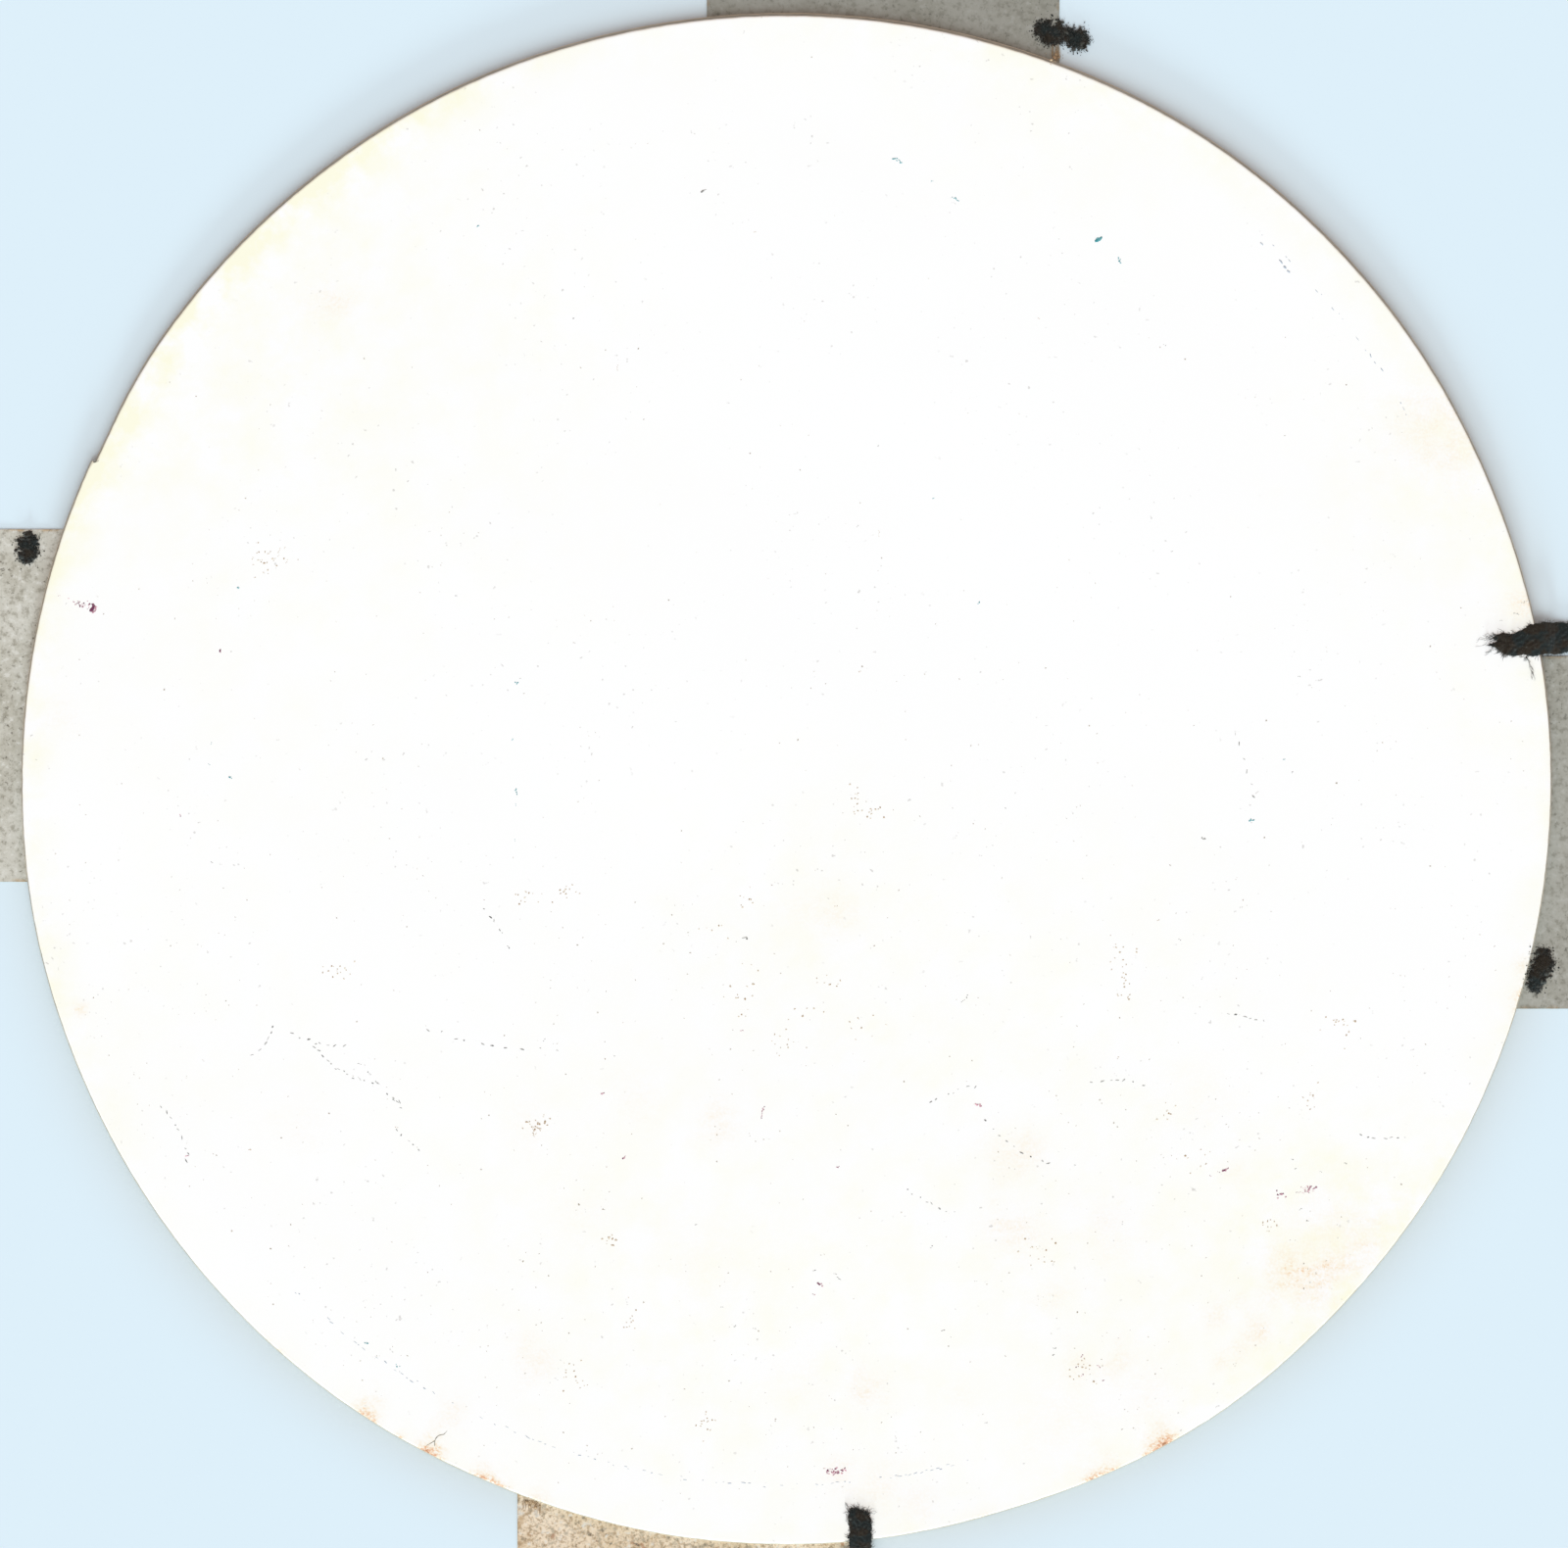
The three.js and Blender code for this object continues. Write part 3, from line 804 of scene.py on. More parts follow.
def fibres(starts, headings, lengths, radius, curl, seed):
    """Points and faces of thin fibres: three-sided tubes that taper to both ends. A fibre's centre line
    is start + heading s + curl (sin(a s + b) - sin b) along each axis. It is held between what lies under
    it and the top of the model's box."""
    draw = np.random.default_rng(seed)
    count = len(starts)
    share = np.linspace(0, 1, FIBRE_RINGS)[None, :, None]
    length = np.broadcast_to(lengths, count)[:, None, None]
    wave = draw.uniform(2.5, 8.0, (count, 1, 3)) * share + draw.uniform(0, 2 * np.pi, (count, 1, 3))
    bend = np.sin(wave) - np.sin(wave[:, :1])
    line = starts[:, None] + headings[:, None] * share * length + bend * curl * length
    thick = radius * (0.25 + 0.75 * np.sin(np.pi * (0.12 + 0.8 * share)))
    ground = resting_height(line[..., 0], line[..., 1]) + radius
    line[..., 2] = np.clip(line[..., 2], ground, cad_high.z - 1.5 * radius)
    step = np.gradient(line, axis=1)
    step /= np.linalg.norm(step, axis=2, keepdims=True) + 1e-12
    sideways = np.cross(step, np.array([0.2, 0.1, 1.0]))
    sideways /= np.linalg.norm(sideways, axis=2, keepdims=True) + 1e-12
    upright = np.cross(sideways, step)
    turn = np.arange(FIBRE_SIDES) * 2 * np.pi / FIBRE_SIDES
    around = np.cos(turn)[:, None] * sideways[:, :, None] + np.sin(turn)[:, None] * upright[:, :, None]
    points = line[:, :, None] + around * thick[:, :, None]
    limit = np.array([cad_high.x, cad_high.y]) - 0.02 * MM
    points[..., :2] = np.clip(points[..., :2], -limit, limit)
    first = np.arange(count)[:, None, None] * FIBRE_RINGS * FIBRE_SIDES
    ring = first + np.arange(FIBRE_RINGS - 1)[None, :, None] * FIBRE_SIDES
    corner = np.arange(FIBRE_SIDES)
    after = (corner + 1) % FIBRE_SIDES
    further = ring + FIBRE_SIDES
    quads = np.stack([ring + corner, ring + after, further + after, further + corner], -1).reshape(-1, 4)
    last = first + (FIBRE_RINGS - 1) * FIBRE_SIDES
    ends = np.concatenate([first[:, 0] + [[2, 1, 0]], last[:, 0] + [[0, 1, 2]]])
    return points.reshape(-1, 3), quads, ends


def crumbs(centres, size, seed):
    """Points and triangles of small lint crumbs: each a lumpy bead with a top, a ring of six and a
    foot."""
    draw = np.random.default_rng(seed)
    count = len(centres)
    wide = (size * (0.3 + 0.7 * draw.random((count, 1, 1)) ** 2))[..., 0]
    wide = wide * (1 + 0.35 * draw.normal(0, 0.7, (count, CRUMB_SIDES)))
    here = np.arange(CRUMB_SIDES)
    turn = here * 2 * np.pi / CRUMB_SIDES + draw.uniform(0, 1, (count, 1))
    ground = resting_height(centres[:, 0], centres[:, 1])[:, None]
    ring_x, ring_y = centres[:, :1] + wide * np.cos(turn), centres[:, 1:2] + wide * np.sin(turn)
    ring = np.stack([ring_x, ring_y, ground + 0.35 * wide], -1)
    top = np.concatenate([centres[:, :2], ground + 0.9 * wide[:, :1]], 1)[:, None]
    foot = np.concatenate([centres[:, :2], ground + 0.002 * MM], 1)[:, None]
    limit = np.array([cad_high.x, cad_high.y, cad_high.z]) - 0.02 * MM
    points = np.clip(np.concatenate([ring, top, foot], 1).reshape(-1, 3), -limit, limit)
    first = (np.arange(count) * (CRUMB_SIDES + 2))[:, None]
    after = (here + 1) % CRUMB_SIDES
    caps = np.stack([first + here, first + after, first + CRUMB_SIDES + 0 * here], -1)
    feet = np.stack([first + after, first + here, first + CRUMB_SIDES + 1 + 0 * here], -1)
    return points, np.concatenate([caps, feet]).reshape(-1, 3)


def felt_piece(name, body, starts, headings, lengths, curl, seed, scatter, spread, radius=0.025 * MM):
    """A body of matted felt, its loose fibres, and crumbs scattered about it, as one piece. A random
    shade is stored for each fibre and crumb. The first few crumbs are lumps that break up the outline,
    the next are coarse and close by, and the rest are fine and further off."""
    points, quads = body
    draw = np.random.default_rng(seed + 1)
    hair_points, hair_quads, hair_ends = fibres(starts, headings, lengths, radius, curl, seed)
    kind = np.searchsorted(CRUMB_SHARES, np.arange(scatter) / scatter, side="right")
    off = draw.normal(0, 1, (scatter, 3)) * np.array([0.30, 0.26, spread])[kind, None] * MM
    near = points[draw.integers(0, len(points) // 2, scatter)] + off
    crumb_points, crumb_faces = crumbs(near, np.array([0.46, 0.28, 0.13])[kind, None, None] * MM, seed + 2)
    hairs_from, crumbs_from = len(points), len(points) + len(hair_points)
    piece = mesh_piece(name, np.concatenate([points, hair_points, crumb_points]),
                       np.concatenate([quads, hair_quads + hairs_from]),
                       np.concatenate([hair_ends + hairs_from, crumb_faces + crumbs_from]))
    shade = [0.25 + 0.25 * draw.random(hairs_from),
             np.repeat(draw.random(len(starts)), FIBRE_RINGS * FIBRE_SIDES),
             np.repeat(draw.random(scatter), CRUMB_SIDES + 2)]
    write_attribute(piece, "shade", np.concatenate(shade))
    return piece


def nap(top, outline_centre, count, least, most, seed):
    """Where loose fibres start, which way they lie and how long they are. They start on the body's top
    grid, more often near its border, and lie outwards from its middle with a wide spread."""
    draw = np.random.default_rng(seed)
    rows, columns = top.shape[:2]
    spread = draw.beta(0.45, 0.45, (count, 2))
    start = top[(spread[:, 0] * (rows - 1)).astype(int), (spread[:, 1] * (columns - 1)).astype(int)]
    start = start - [0, 0, 0.08 * MM]
    heading = start - outline_centre
    heading[:, 2] = 0
    heading /= np.linalg.norm(heading, axis=1, keepdims=True) + 1e-12
    heading += draw.normal(0, 0.9, (count, 3)) * [1, 1, 0.45]
    heading /= np.linalg.norm(heading, axis=1, keepdims=True)
    return start, heading, least + (most - least) * draw.random(count) ** 2


def dark_wool():
    """Black wool: near black, with greyer, browner and bluer fibres among it, and a soft sheen on the
    nap."""
    material, tree, shader = new_finish("dark_wool")
    place = stretched(tree)
    shade = read_attribute(tree, "shade")
    clump = noise(tree, place, 2600.0, 4.0, 0.75)
    tint = noise(tree, place, 450.0, 2.0, 0.5)
    colour = mixed(tree, ranged(tree, tint, 0.42, 0.60), (0.022, 0.016, 0.010), (0.012, 0.018, 0.018))
    colour = mixed(tree, ranged(tree, shade, 0.5, 1.0, 0.0, 0.7), colour, (0.085, 0.088, 0.078))
    colour = mixed(tree, ranged(tree, clump, 0.55, 0.72, 0.0, 0.6), colour, (0.080, 0.085, 0.076))
    set_shader(tree, shader, 0.8, 0.15 * MM, Base_Color=colour, Roughness=0.95, Specular_IOR_Level=0.1,
               Sheen_Weight=0.12, Sheen_Roughness=0.6, Height=clump)
    return material


wool_finish = dark_wool()


def finish_scrap(piece, node, material):
    """A scrap's material and its place in the frame."""
    piece.data.materials.append(material)
    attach(piece, "root")
    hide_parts(node)


FACE_LAY = 1.755
TAB_LAY = 0.36
LAP_ROWS = 100
LAP_COLUMNS = 44


def ragged_line(seed):
    """A torn edge's swing in mm, for each row of a lapped strip: a coarse and a fine ripple along it."""
    run = np.linspace(0, 12, LAP_ROWS)[:, None] * [1, 0, 0]
    return (0.10 * ripple(run, 0.9, seed) + 0.07 * ripple(run, 0.35, seed + 1))[:, None]


def lapped_felt(node, outline, prongs, strays, rim, along_x, seed):
    """A torn strip that lies on the face, drops over the cut edge at rim and ends above the tape. Its
    outline is two ragged lines along its length, and its inner end is torn into prongs. Its middle is the
    thickest."""
    along_at, low_at, high_at = np.array(outline).T
    rows, columns = np.linspace(0, 1, LAP_ROWS), np.linspace(0, 1, LAP_COLUMNS)
    share, across = np.meshgrid(rows, columns, indexing="ij")
    torn = np.interp(across, *np.array(prongs).T)
    along = torn + share * (along_at[-1] - torn)
    low = np.interp(along, along_at, low_at) + ragged_line(seed + 6)
    high = np.interp(along, along_at, high_at) + ragged_line(seed + 8)
    side = low + across * (high - low)
    flat = (along, side) if along_x else (side, -along)
    place = np.stack([*flat, 0 * along], -1)
    along = along + 0.10 * ripple(place, 1.1, seed + 1)
    lay = np.interp(along, [rim, rim + 0.7, rim + 1.7, rim + 2.4], [FACE_LAY, 1.45, 0.55, TAB_LAY])
    ends = np.clip(share * 12, 0, 1) * np.clip((1 - share) * 9, 0, 1)
    bulge = np.sqrt(np.clip(np.sin(np.pi * across), 0, 1)) * np.sqrt(ends)
    lumps = 0.11 * ripple(place, 0.55, seed + 2) + 0.07 * ripple(place, 1.7, seed + 3)
    matted = 0.06 + bulge * (0.33 + lumps)
    flat = (along, side) if along_x else (side, -along)
    top = np.stack([*flat, lay + np.clip(matted, 0.05, 0.52)], -1) * MM
    bottom = np.stack([*flat, lay], -1) * MM
    middle = top[60, LAP_COLUMNS // 2]
    starts, headings, lengths = nap(top, middle, 800, 0.2 * MM, 1.1 * MM, seed + 4)
    for x, y, to_x, to_y in np.repeat(strays, 3, axis=0) * MM:
        starts = np.concatenate([starts, [[x, y, face_top + 0.08 * MM]]])
        run = np.array([to_x - x, to_y - y, 0])
        lengths = np.append(lengths, np.linalg.norm(run))
        headings = np.concatenate([headings, [run / np.linalg.norm(run)]])
    return felt_piece(node + "_felt", closed_sheet(top, bottom), starts, headings, lengths, 0.12, seed + 5,
                      scatter=110, spread=0.16)


EAST_OUTLINE = (
    # along, lower side and upper side, in mm from the centre
    (100.7, 19.2, 19.8), (101.7, 18.6, 20.8), (103.1, 18.15, 21.1), (104.1, 17.95, 20.95),
    (105.2, 17.9, 21.25), (106.3, 18.0, 21.8), (107.2, 17.85, 22.4), (109.0, 18.0, 22.7),
    (111.0, 18.1, 22.7), (113.4, 18.6, 22.5),
)
EAST_PRONGS = (
    # share of the width, and where the torn end is
    (0.0, 103.0), (0.2, 102.1), (0.35, 100.8), (0.52, 101.6), (0.62, 102.4), (0.8, 102.0), (0.9, 101.6),
    (1.0, 102.6),
)
EAST_STRAYS = (
    (101.4, 20.3, 99.2, 19.6), (101.6, 20.6, 100.2, 20.9), (101.5, 18.7, 100.6, 18.1),
    (106.4, 17.8, 107.0, 16.2), (107.0, 16.4, 107.4, 15.4), (107.2, 15.6, 107.5, 14.4),
    (106.6, 17.7, 106.2, 17.1), (101.9, 20.9, 100.6, 20.2),
)
SOUTH_OUTLINE = (
    (104.9, 9.4, 10.9), (105.4, 9.1, 11.6), (106.4, 8.95, 12.1), (108.0, 9.0, 12.2), (110.0, 9.05, 12.2),
    (112.0, 9.1, 12.1), (113.6, 9.4, 11.9),
)
SOUTH_PRONGS = (
    (0.0, 105.5), (0.15, 104.9), (0.3, 105.1), (0.45, 104.85), (0.6, 105.2), (0.75, 105.15),
    (0.9, 105.35), (1.0, 105.8),
)
SOUTH_STRAYS = (
    (9.1, -105.3, 8.6, -104.5), (9.3, -105.5, 9.0, -104.9), (11.4, -105.4, 13.0, -105.3),
    (8.7, -104.6, 8.4, -104.1),
)
for node, *shape in (
    ("felt_scrap_east_upper", EAST_OUTLINE, EAST_PRONGS, EAST_STRAYS, 109.1, True, 101),
    ("felt_scrap_south", SOUTH_OUTLINE, SOUTH_PRONGS, SOUTH_STRAYS, 110.1, False, 111),
):
    finish_scrap(lapped_felt(node, *shape), node, wool_finish)


def tuft_body(spot, thick, seed):
    """The top and bottom grids of a ragged patch on the tape, between two bearings and outwards from a
    gap off the cut edge. It is thickest in its middle, and torn all round."""
    start, end, gap, reach = spot
    share, outward = np.meshgrid(np.linspace(0, 1, 60), np.linspace(0, 1, 36), indexing="ij")
    bearing = start + share * (end - start)
    bearing = bearing + 0.12 * ripple(np.stack([share * 5, outward * 5, 0 * share], -1), 1.3, seed)
    swell = np.sin(np.pi * (0.15 + 0.7 * share))
    run = np.stack([share * 9, 0 * share, 0 * share], -1)
    torn = 1 + 0.34 * ripple(run, 2.4, seed + 1) + 0.2 * ripple(run, 0.7, seed + 3)
    ragged = 0.8 * np.abs(ripple(run, 1.9, seed + 2)) + 0.3 * ripple(run, 0.6, seed + 4)
    rounded = 0.8 * (1 - np.sin(np.pi * share)) ** 1.5 * min(gap, 1)
    off_rim = gap - 0.1 + ragged * min(gap, 1) + rounded
    near = rim_radius(bearing) + lean(bearing, back_low.z) + off_rim * MM
    radius = near + outward * np.maximum(reach * swell * torn, 0.3) * MM
    bulge = np.sqrt(np.clip(np.sin(np.pi * share) * np.sin(np.pi * np.clip(outward * 1.02, 0, 1)), 0, 1))
    place = on_rim(bearing, radius, 0 * radius) / MM
    high = 0.04 + bulge * (1 + 0.25 * ripple(place, 0.6, seed + 2)) * thick
    flat = on_rim(bearing, radius, TAPE_THICK + 0.01 * MM)
    return flat + np.stack([0 * high, 0 * high, high * MM], -1), flat


TUFTS = {
    # bearings in degrees, gap off the cut edge and reach in mm
    "felt_scrap_east_lower": (344.4, 347.2, 0.6, 2.2), "felt_scrap_north_left": (69.7, 71.5, 2.2, 2.8),
    "felt_scrap_north_right": (68.0, 69.3, 3.0, 1.7), "felt_scrap_west": (162.3, 163.9, 2.7, 2.0),
}
for seed, (node, spot) in enumerate(TUFTS.items()):
    top, bottom = tuft_body(spot, 0.36, 120 + 10 * seed)
    loose = nap(top, top.mean((0, 1)), 900, 0.15 * MM, 0.9 * MM, 125 + 10 * seed)
    tuft = felt_piece(node + "_felt", closed_sheet(top, bottom), *loose, 0.14, 126 + 10 * seed,
                      scatter=1100, spread=0.62)
    finish_scrap(tuft, node, wool_finish)


# ---- The brown fibre -----------------------------------------------------------------------------------
# Two shreds of brown packing fibre, stuck down on the north and south tabs. Each is a flat bundle of
# stiff, nearly parallel strands that run out from the rim.

def fibre_bundle(node, spot, outward, seed):
    """A thin mat of glued strands, with loose strands over it. They all run out along the tape, whose own
    bearing is outward."""
    start, end, gap, reach = spot
    top, bottom = tuft_body((start + 0.3, end - 0.3, gap, 0.15 * reach), 0.02, seed)
    draw = np.random.default_rng(seed + 3)
    count = 48
    bearing = start + draw.random(count) * (end - start)
    near = rim_radius(bearing) + lean(bearing, back_low.z) + draw.uniform(0.1, 0.7, count) * MM
    starts = on_rim(bearing, near, (0.17 + 0.10 * draw.random(count)) * MM)
    headings = on_rim(outward + draw.normal(0, 6, count), np.ones(count), draw.normal(0, 0.03, count))
    lengths = reach * draw.uniform(0.3, 1.15, count) * MM
    return felt_piece(node + "_bundle", closed_sheet(top, bottom), starts, headings, lengths, 0.03,
                      seed + 4, scatter=30, spread=0.5, radius=0.022 * MM)


def brown_strands():
    """Straw and orange-brown strands, streaked darker."""
    material, tree, shader = new_finish("brown_strands")
    place = stretched(tree)
    streak = noise(tree, place, 1100.0, 3.0, 0.6)
    colour = mixed(tree, read_attribute(tree, "shade"), (0.68, 0.50, 0.32), (0.38, 0.26, 0.155))
    colour = mixed(tree, ranged(tree, streak, 0.5, 0.7, 0.0, 0.5), colour, (0.26, 0.165, 0.09))
    set_shader(tree, shader, 0.5, 0.05 * MM, Base_Color=colour, Roughness=0.8, Specular_IOR_Level=0.25,
               Height=streak)
    return material


strand_finish = brown_strands()
for node, spot, outward, seed in (
    ("fibre_sliver_north", (69.2, 69.9, 0.3, 1.9), 90, 161),
    ("fibre_shred_south", (249.9, 251.3, 0.3, 1.5), 270, 171),
):
    finish_scrap(fibre_bundle(node, spot, outward, seed), node, strand_finish)


# ---- The paint flecks ----------------------------------------------------------------------------------
# Dried flecks of poster paint and ink, each a thin raised scab on the face: teal, crimson to purple,
# grey, and tan. Most are under a millimetre across. Rows of dashes show where something was dragged or
# stippled over it.

TEAL = (
    # east, north, length, width and heading; mm from the centre, and degrees
    (16.0, 89.2, 1.5, 0.38, -24), (24.3, 83.7, 1.1, 0.42, -31), (20.9, 86.2, 0.4, 0.28, 20),
    (44.9, 77.8, 1.05, 0.85, 35), (47.9, 74.8, 1.15, 0.36, -68), (-38.9, 14.0, 0.55, 0.4, 20),
    (-39.5, 5.8, 0.4, 0.26, 60), (-38.9, -1.7, 0.85, 0.36, 84), (-39.0, -3.6, 0.4, 0.2, 80),
    (-39.1, -8.7, 0.4, 0.2, 80), (-80.1, 0.3, 0.55, 0.42, 0), (-82.9, 5.3, 0.5, 0.2, 60),
    (-83.2, 2.2, 0.35, 0.22, 0), (66.9, -5.7, 0.6, 0.45, 10), (27.7, 25.5, 0.4, 0.3, 0),
    (-79.0, 27.8, 0.35, 0.3, 0), (-44.5, 79.8, 0.5, 0.35, 40), (71.6, 2.9, 0.35, 0.25, 0),
    (21.1, 40.6, 0.35, 0.25, 30), (-60.5, -81.1, 0.55, 0.35, -30), (-56.0, -84.4, 0.7, 0.35, -25),
)
CRIMSON = (
    (-99.9, 24.7, 1.15, 0.8, 75), (-99.4, 24.9, 0.4, 0.3, 0), (-104.8, 26.5, 0.45, 0.22, -15),
    (-103.4, 26.1, 0.3, 0.2, 0), (-102.7, 25.6, 0.4, 0.26, -30), (-102.0, 25.7, 0.28, 0.2, 0),
    (-101.5, 25.3, 0.25, 0.18, 0), (-101.1, 25.1, 0.4, 0.2, -20), (-100.6, 24.6, 0.3, 0.2, 0),
    (-81.5, 18.5, 0.6, 0.4, 60), (-87.3, -5.1, 0.45, 0.32, 80), (-3.5, -47.9, 1.9, 0.36, 78),
    (71.3, -59.6, 0.6, 0.4, 30), (73.7, -59.4, 0.9, 0.22, 0), (74.6, -58.9, 0.5, 0.3, 40),
    (75.1, -59.3, 0.4, 0.3, 0), (75.5, -58.7, 0.45, 0.3, 70), (75.8, -59.2, 0.35, 0.25, 0),
    (75.0, -58.5, 0.3, 0.22, 0), (74.4, -59.5, 0.3, 0.2, 0), (63.2, -56.2, 0.95, 0.5, 25),
    (62.2, -56.5, 0.35, 0.25, 0), (61.0, -57.0, 0.35, 0.2, 10), (27.6, -46.9, 0.9, 0.55, -40),
    (-26.5, -45.3, 0.6, 0.45, 0), (-23.4, -54.5, 0.6, 0.4, 40), (4.8, -72.7, 0.8, 0.5, -10),
    (3.9, -74.2, 0.5, 0.4, 0), (-6.5, -36.1, 0.4, 0.28, 30), (7.4, -55.9, 0.55, 0.3, 20),
    (-86.4, -54.2, 0.5, 0.4, 0), (41.8, -84.5, 0.5, 0.35, 50), (42.5, -83.0, 0.55, 0.3, 70),
    (42.6, -85.8, 0.5, 0.3, 20), (44.9, -84.5, 0.6, 0.35, -30), (45.6, -86.5, 0.5, 0.3, 0),
)
GREY = (
    (-12.0, 84.8, 0.6, 0.5, 30), (-6.0, -22.9, 0.65, 0.5, -20), (60.0, -8.5, 0.55, 0.4, 0),
    (25.9, -31.2, 0.7, 0.22, 62), (25.4, -31.8, 0.7, 0.22, 30), (7.5, -71.8, 0.9, 0.24, -40),
    (7.0, -71.2, 0.6, 0.2, -10), (4.0, -70.7, 0.5, 0.25, 40), (-9.3, -75.9, 0.4, 0.3, 0),
    (-7.4, -78.7, 0.4, 0.28, 0), (20.9, -67.3, 0.5, 0.28, 50), (22.5, -79.3, 0.4, 0.28, 0),
    (27.3, -72.3, 0.4, 0.25, 20), (72.8, -54.8, 0.4, 0.28, 0), (73.3, -56.0, 0.5, 0.24, 40),
    (76.9, -56.5, 0.4, 0.25, 0), (80.5, -55.3, 0.4, 0.24, -20), (74.0, -61.8, 0.5, 0.3, 50),
    (75.0, -63.5, 0.4, 0.28, 0), (28.7, -92.6, 0.5, 0.28, 10), (34.2, -98.5, 0.5, 0.26, 30),
    (-34.9, -37.5, 0.45, 0.28, 60), (-33.0, -39.0, 0.4, 0.22, 0), (-24.8, -39.8, 0.35, 0.24, 0),
    (-47.6, 26.5, 0.35, 0.28, 0), (-8.4, 54.3, 0.5, 0.24, -30), (13.2, 48.1, 0.45, 0.25, 60),
    (-30.7, 66.4, 0.3, 0.25, 0), (54.4, 62.6, 0.4, 0.2, -50), (10.2, 36.5, 0.4, 0.25, 70),
    (55.5, 32.9, 0.35, 0.2, 0), (73.8, 14.9, 0.3, 0.22, 0), (72.7, 1.1, 0.4, 0.28, 40),
    (31.5, -4.1, 0.3, 0.22, 0), (-82.8, -11.9, 0.35, 0.25, 0), (-13.1, -64.1, 0.4, 0.28, 20),
    (56.6, -23.0, 0.35, 0.25, 0), (41.5, -55.6, 0.35, 0.25, 0), (106.2, 25.6, 0.9, 0.26, 25),
    (105.1, 23.9, 0.8, 0.24, -15), (102.9, 22.9, 0.4, 0.25, 0), (-56.3, -46.3, 1.0, 0.32, -40),
    (-60.1, -42.3, 0.7, 0.24, -45), (-59.1, -43.6, 0.6, 0.24, -50), (-61.5, -40.9, 0.7, 0.24, -20),
    (-38.4, 14.6, 0.25, 0.2, 0), (38.6, -81.9, 0.5, 0.28, 20), (38.4, -82.8, 0.5, 0.28, 0),
)
TAN = (
    (-76.9, 31.9, 0.45, 0.25, 30), (-76.8, 30.9, 0.4, 0.24, 0), (-76.6, 29.1, 0.4, 0.25, 20),
    (-75.7, 31.6, 0.4, 0.22, 60), (-74.9, 31.3, 0.35, 0.22, 0), (-74.7, 32.6, 0.4, 0.22, 30),
    (-73.1, 33.0, 0.9, 0.2, 62), (-73.8, 31.7, 0.6, 0.2, 55), (-73.2, 32.3, 0.5, 0.2, 60),
    (-72.0, 31.4, 0.7, 0.2, 60), (-72.3, 33.4, 0.5, 0.2, 62), (-37.2, -49.3, 0.7, 0.4, 20),
    (-35.7, -50.2, 0.9, 0.45, -20), (-36.3, -51.2, 0.5, 0.35, 0), (-24.4, 59.4, 0.9, 0.18, 88),
    (13.3, 35.5, 0.9, 0.18, 88), (10.5, 15.6, 0.45, 0.3, 0), (47.7, -40.1, 0.5, 0.32, 20),
    (-4.6, 78.9, 0.4, 0.28, 0), (36.3, 66.4, 0.4, 0.24, 0), (-77.3, -53.3, 0.5, 0.34, 0),
    (7.1, -18.2, 0.5, 0.3, 30), (53.5, -20.2, 0.4, 0.28, 0), (-56.2, -50.0, 0.45, 0.26, 0),
)
CHAINS = (
    # from, to, sag to the left of the run, and how many dashes
    (-73.9, -35.4, -76.6, -39.5, 0.4, 6), (-68.0, -38.5, -59.0, -43.8, -1.0, 14),
    (-57.6, -45.4, -55.6, -47.0, 0.1, 4), (-56.2, -50.4, -53.2, -53.4, 0.2, 5),
    (-43.6, -18.7, -39.8, -24.5, 0.3, 7), (-90.2, -47.0, -86.2, -55.0, 0.8, 9),
    (82.9, -51.2, 88.6, -51.5, -0.3, 7), (-71.0, -36.5, -64.0, -38.4, -0.6, 8),
    (63.5, -33.8, 69.0, -35.0, 0.2, 6), (21.0, -46.4, 27.0, -44.2, 0.4, 7),
    (28.6, -49.0, 38.0, -55.4, -0.8, 9), (44.2, -43.6, 51.0, -43.8, 0.5, 7),
    (-51.5, -36.0, -36.0, -38.6, -0.8, 9), (64.4, 6.9, 67.2, -2.6, 0.3, 6),
    (17.2, -58.8, 24.4, -62.4, -0.5, 8),
)


SCAB_SIDES = 10


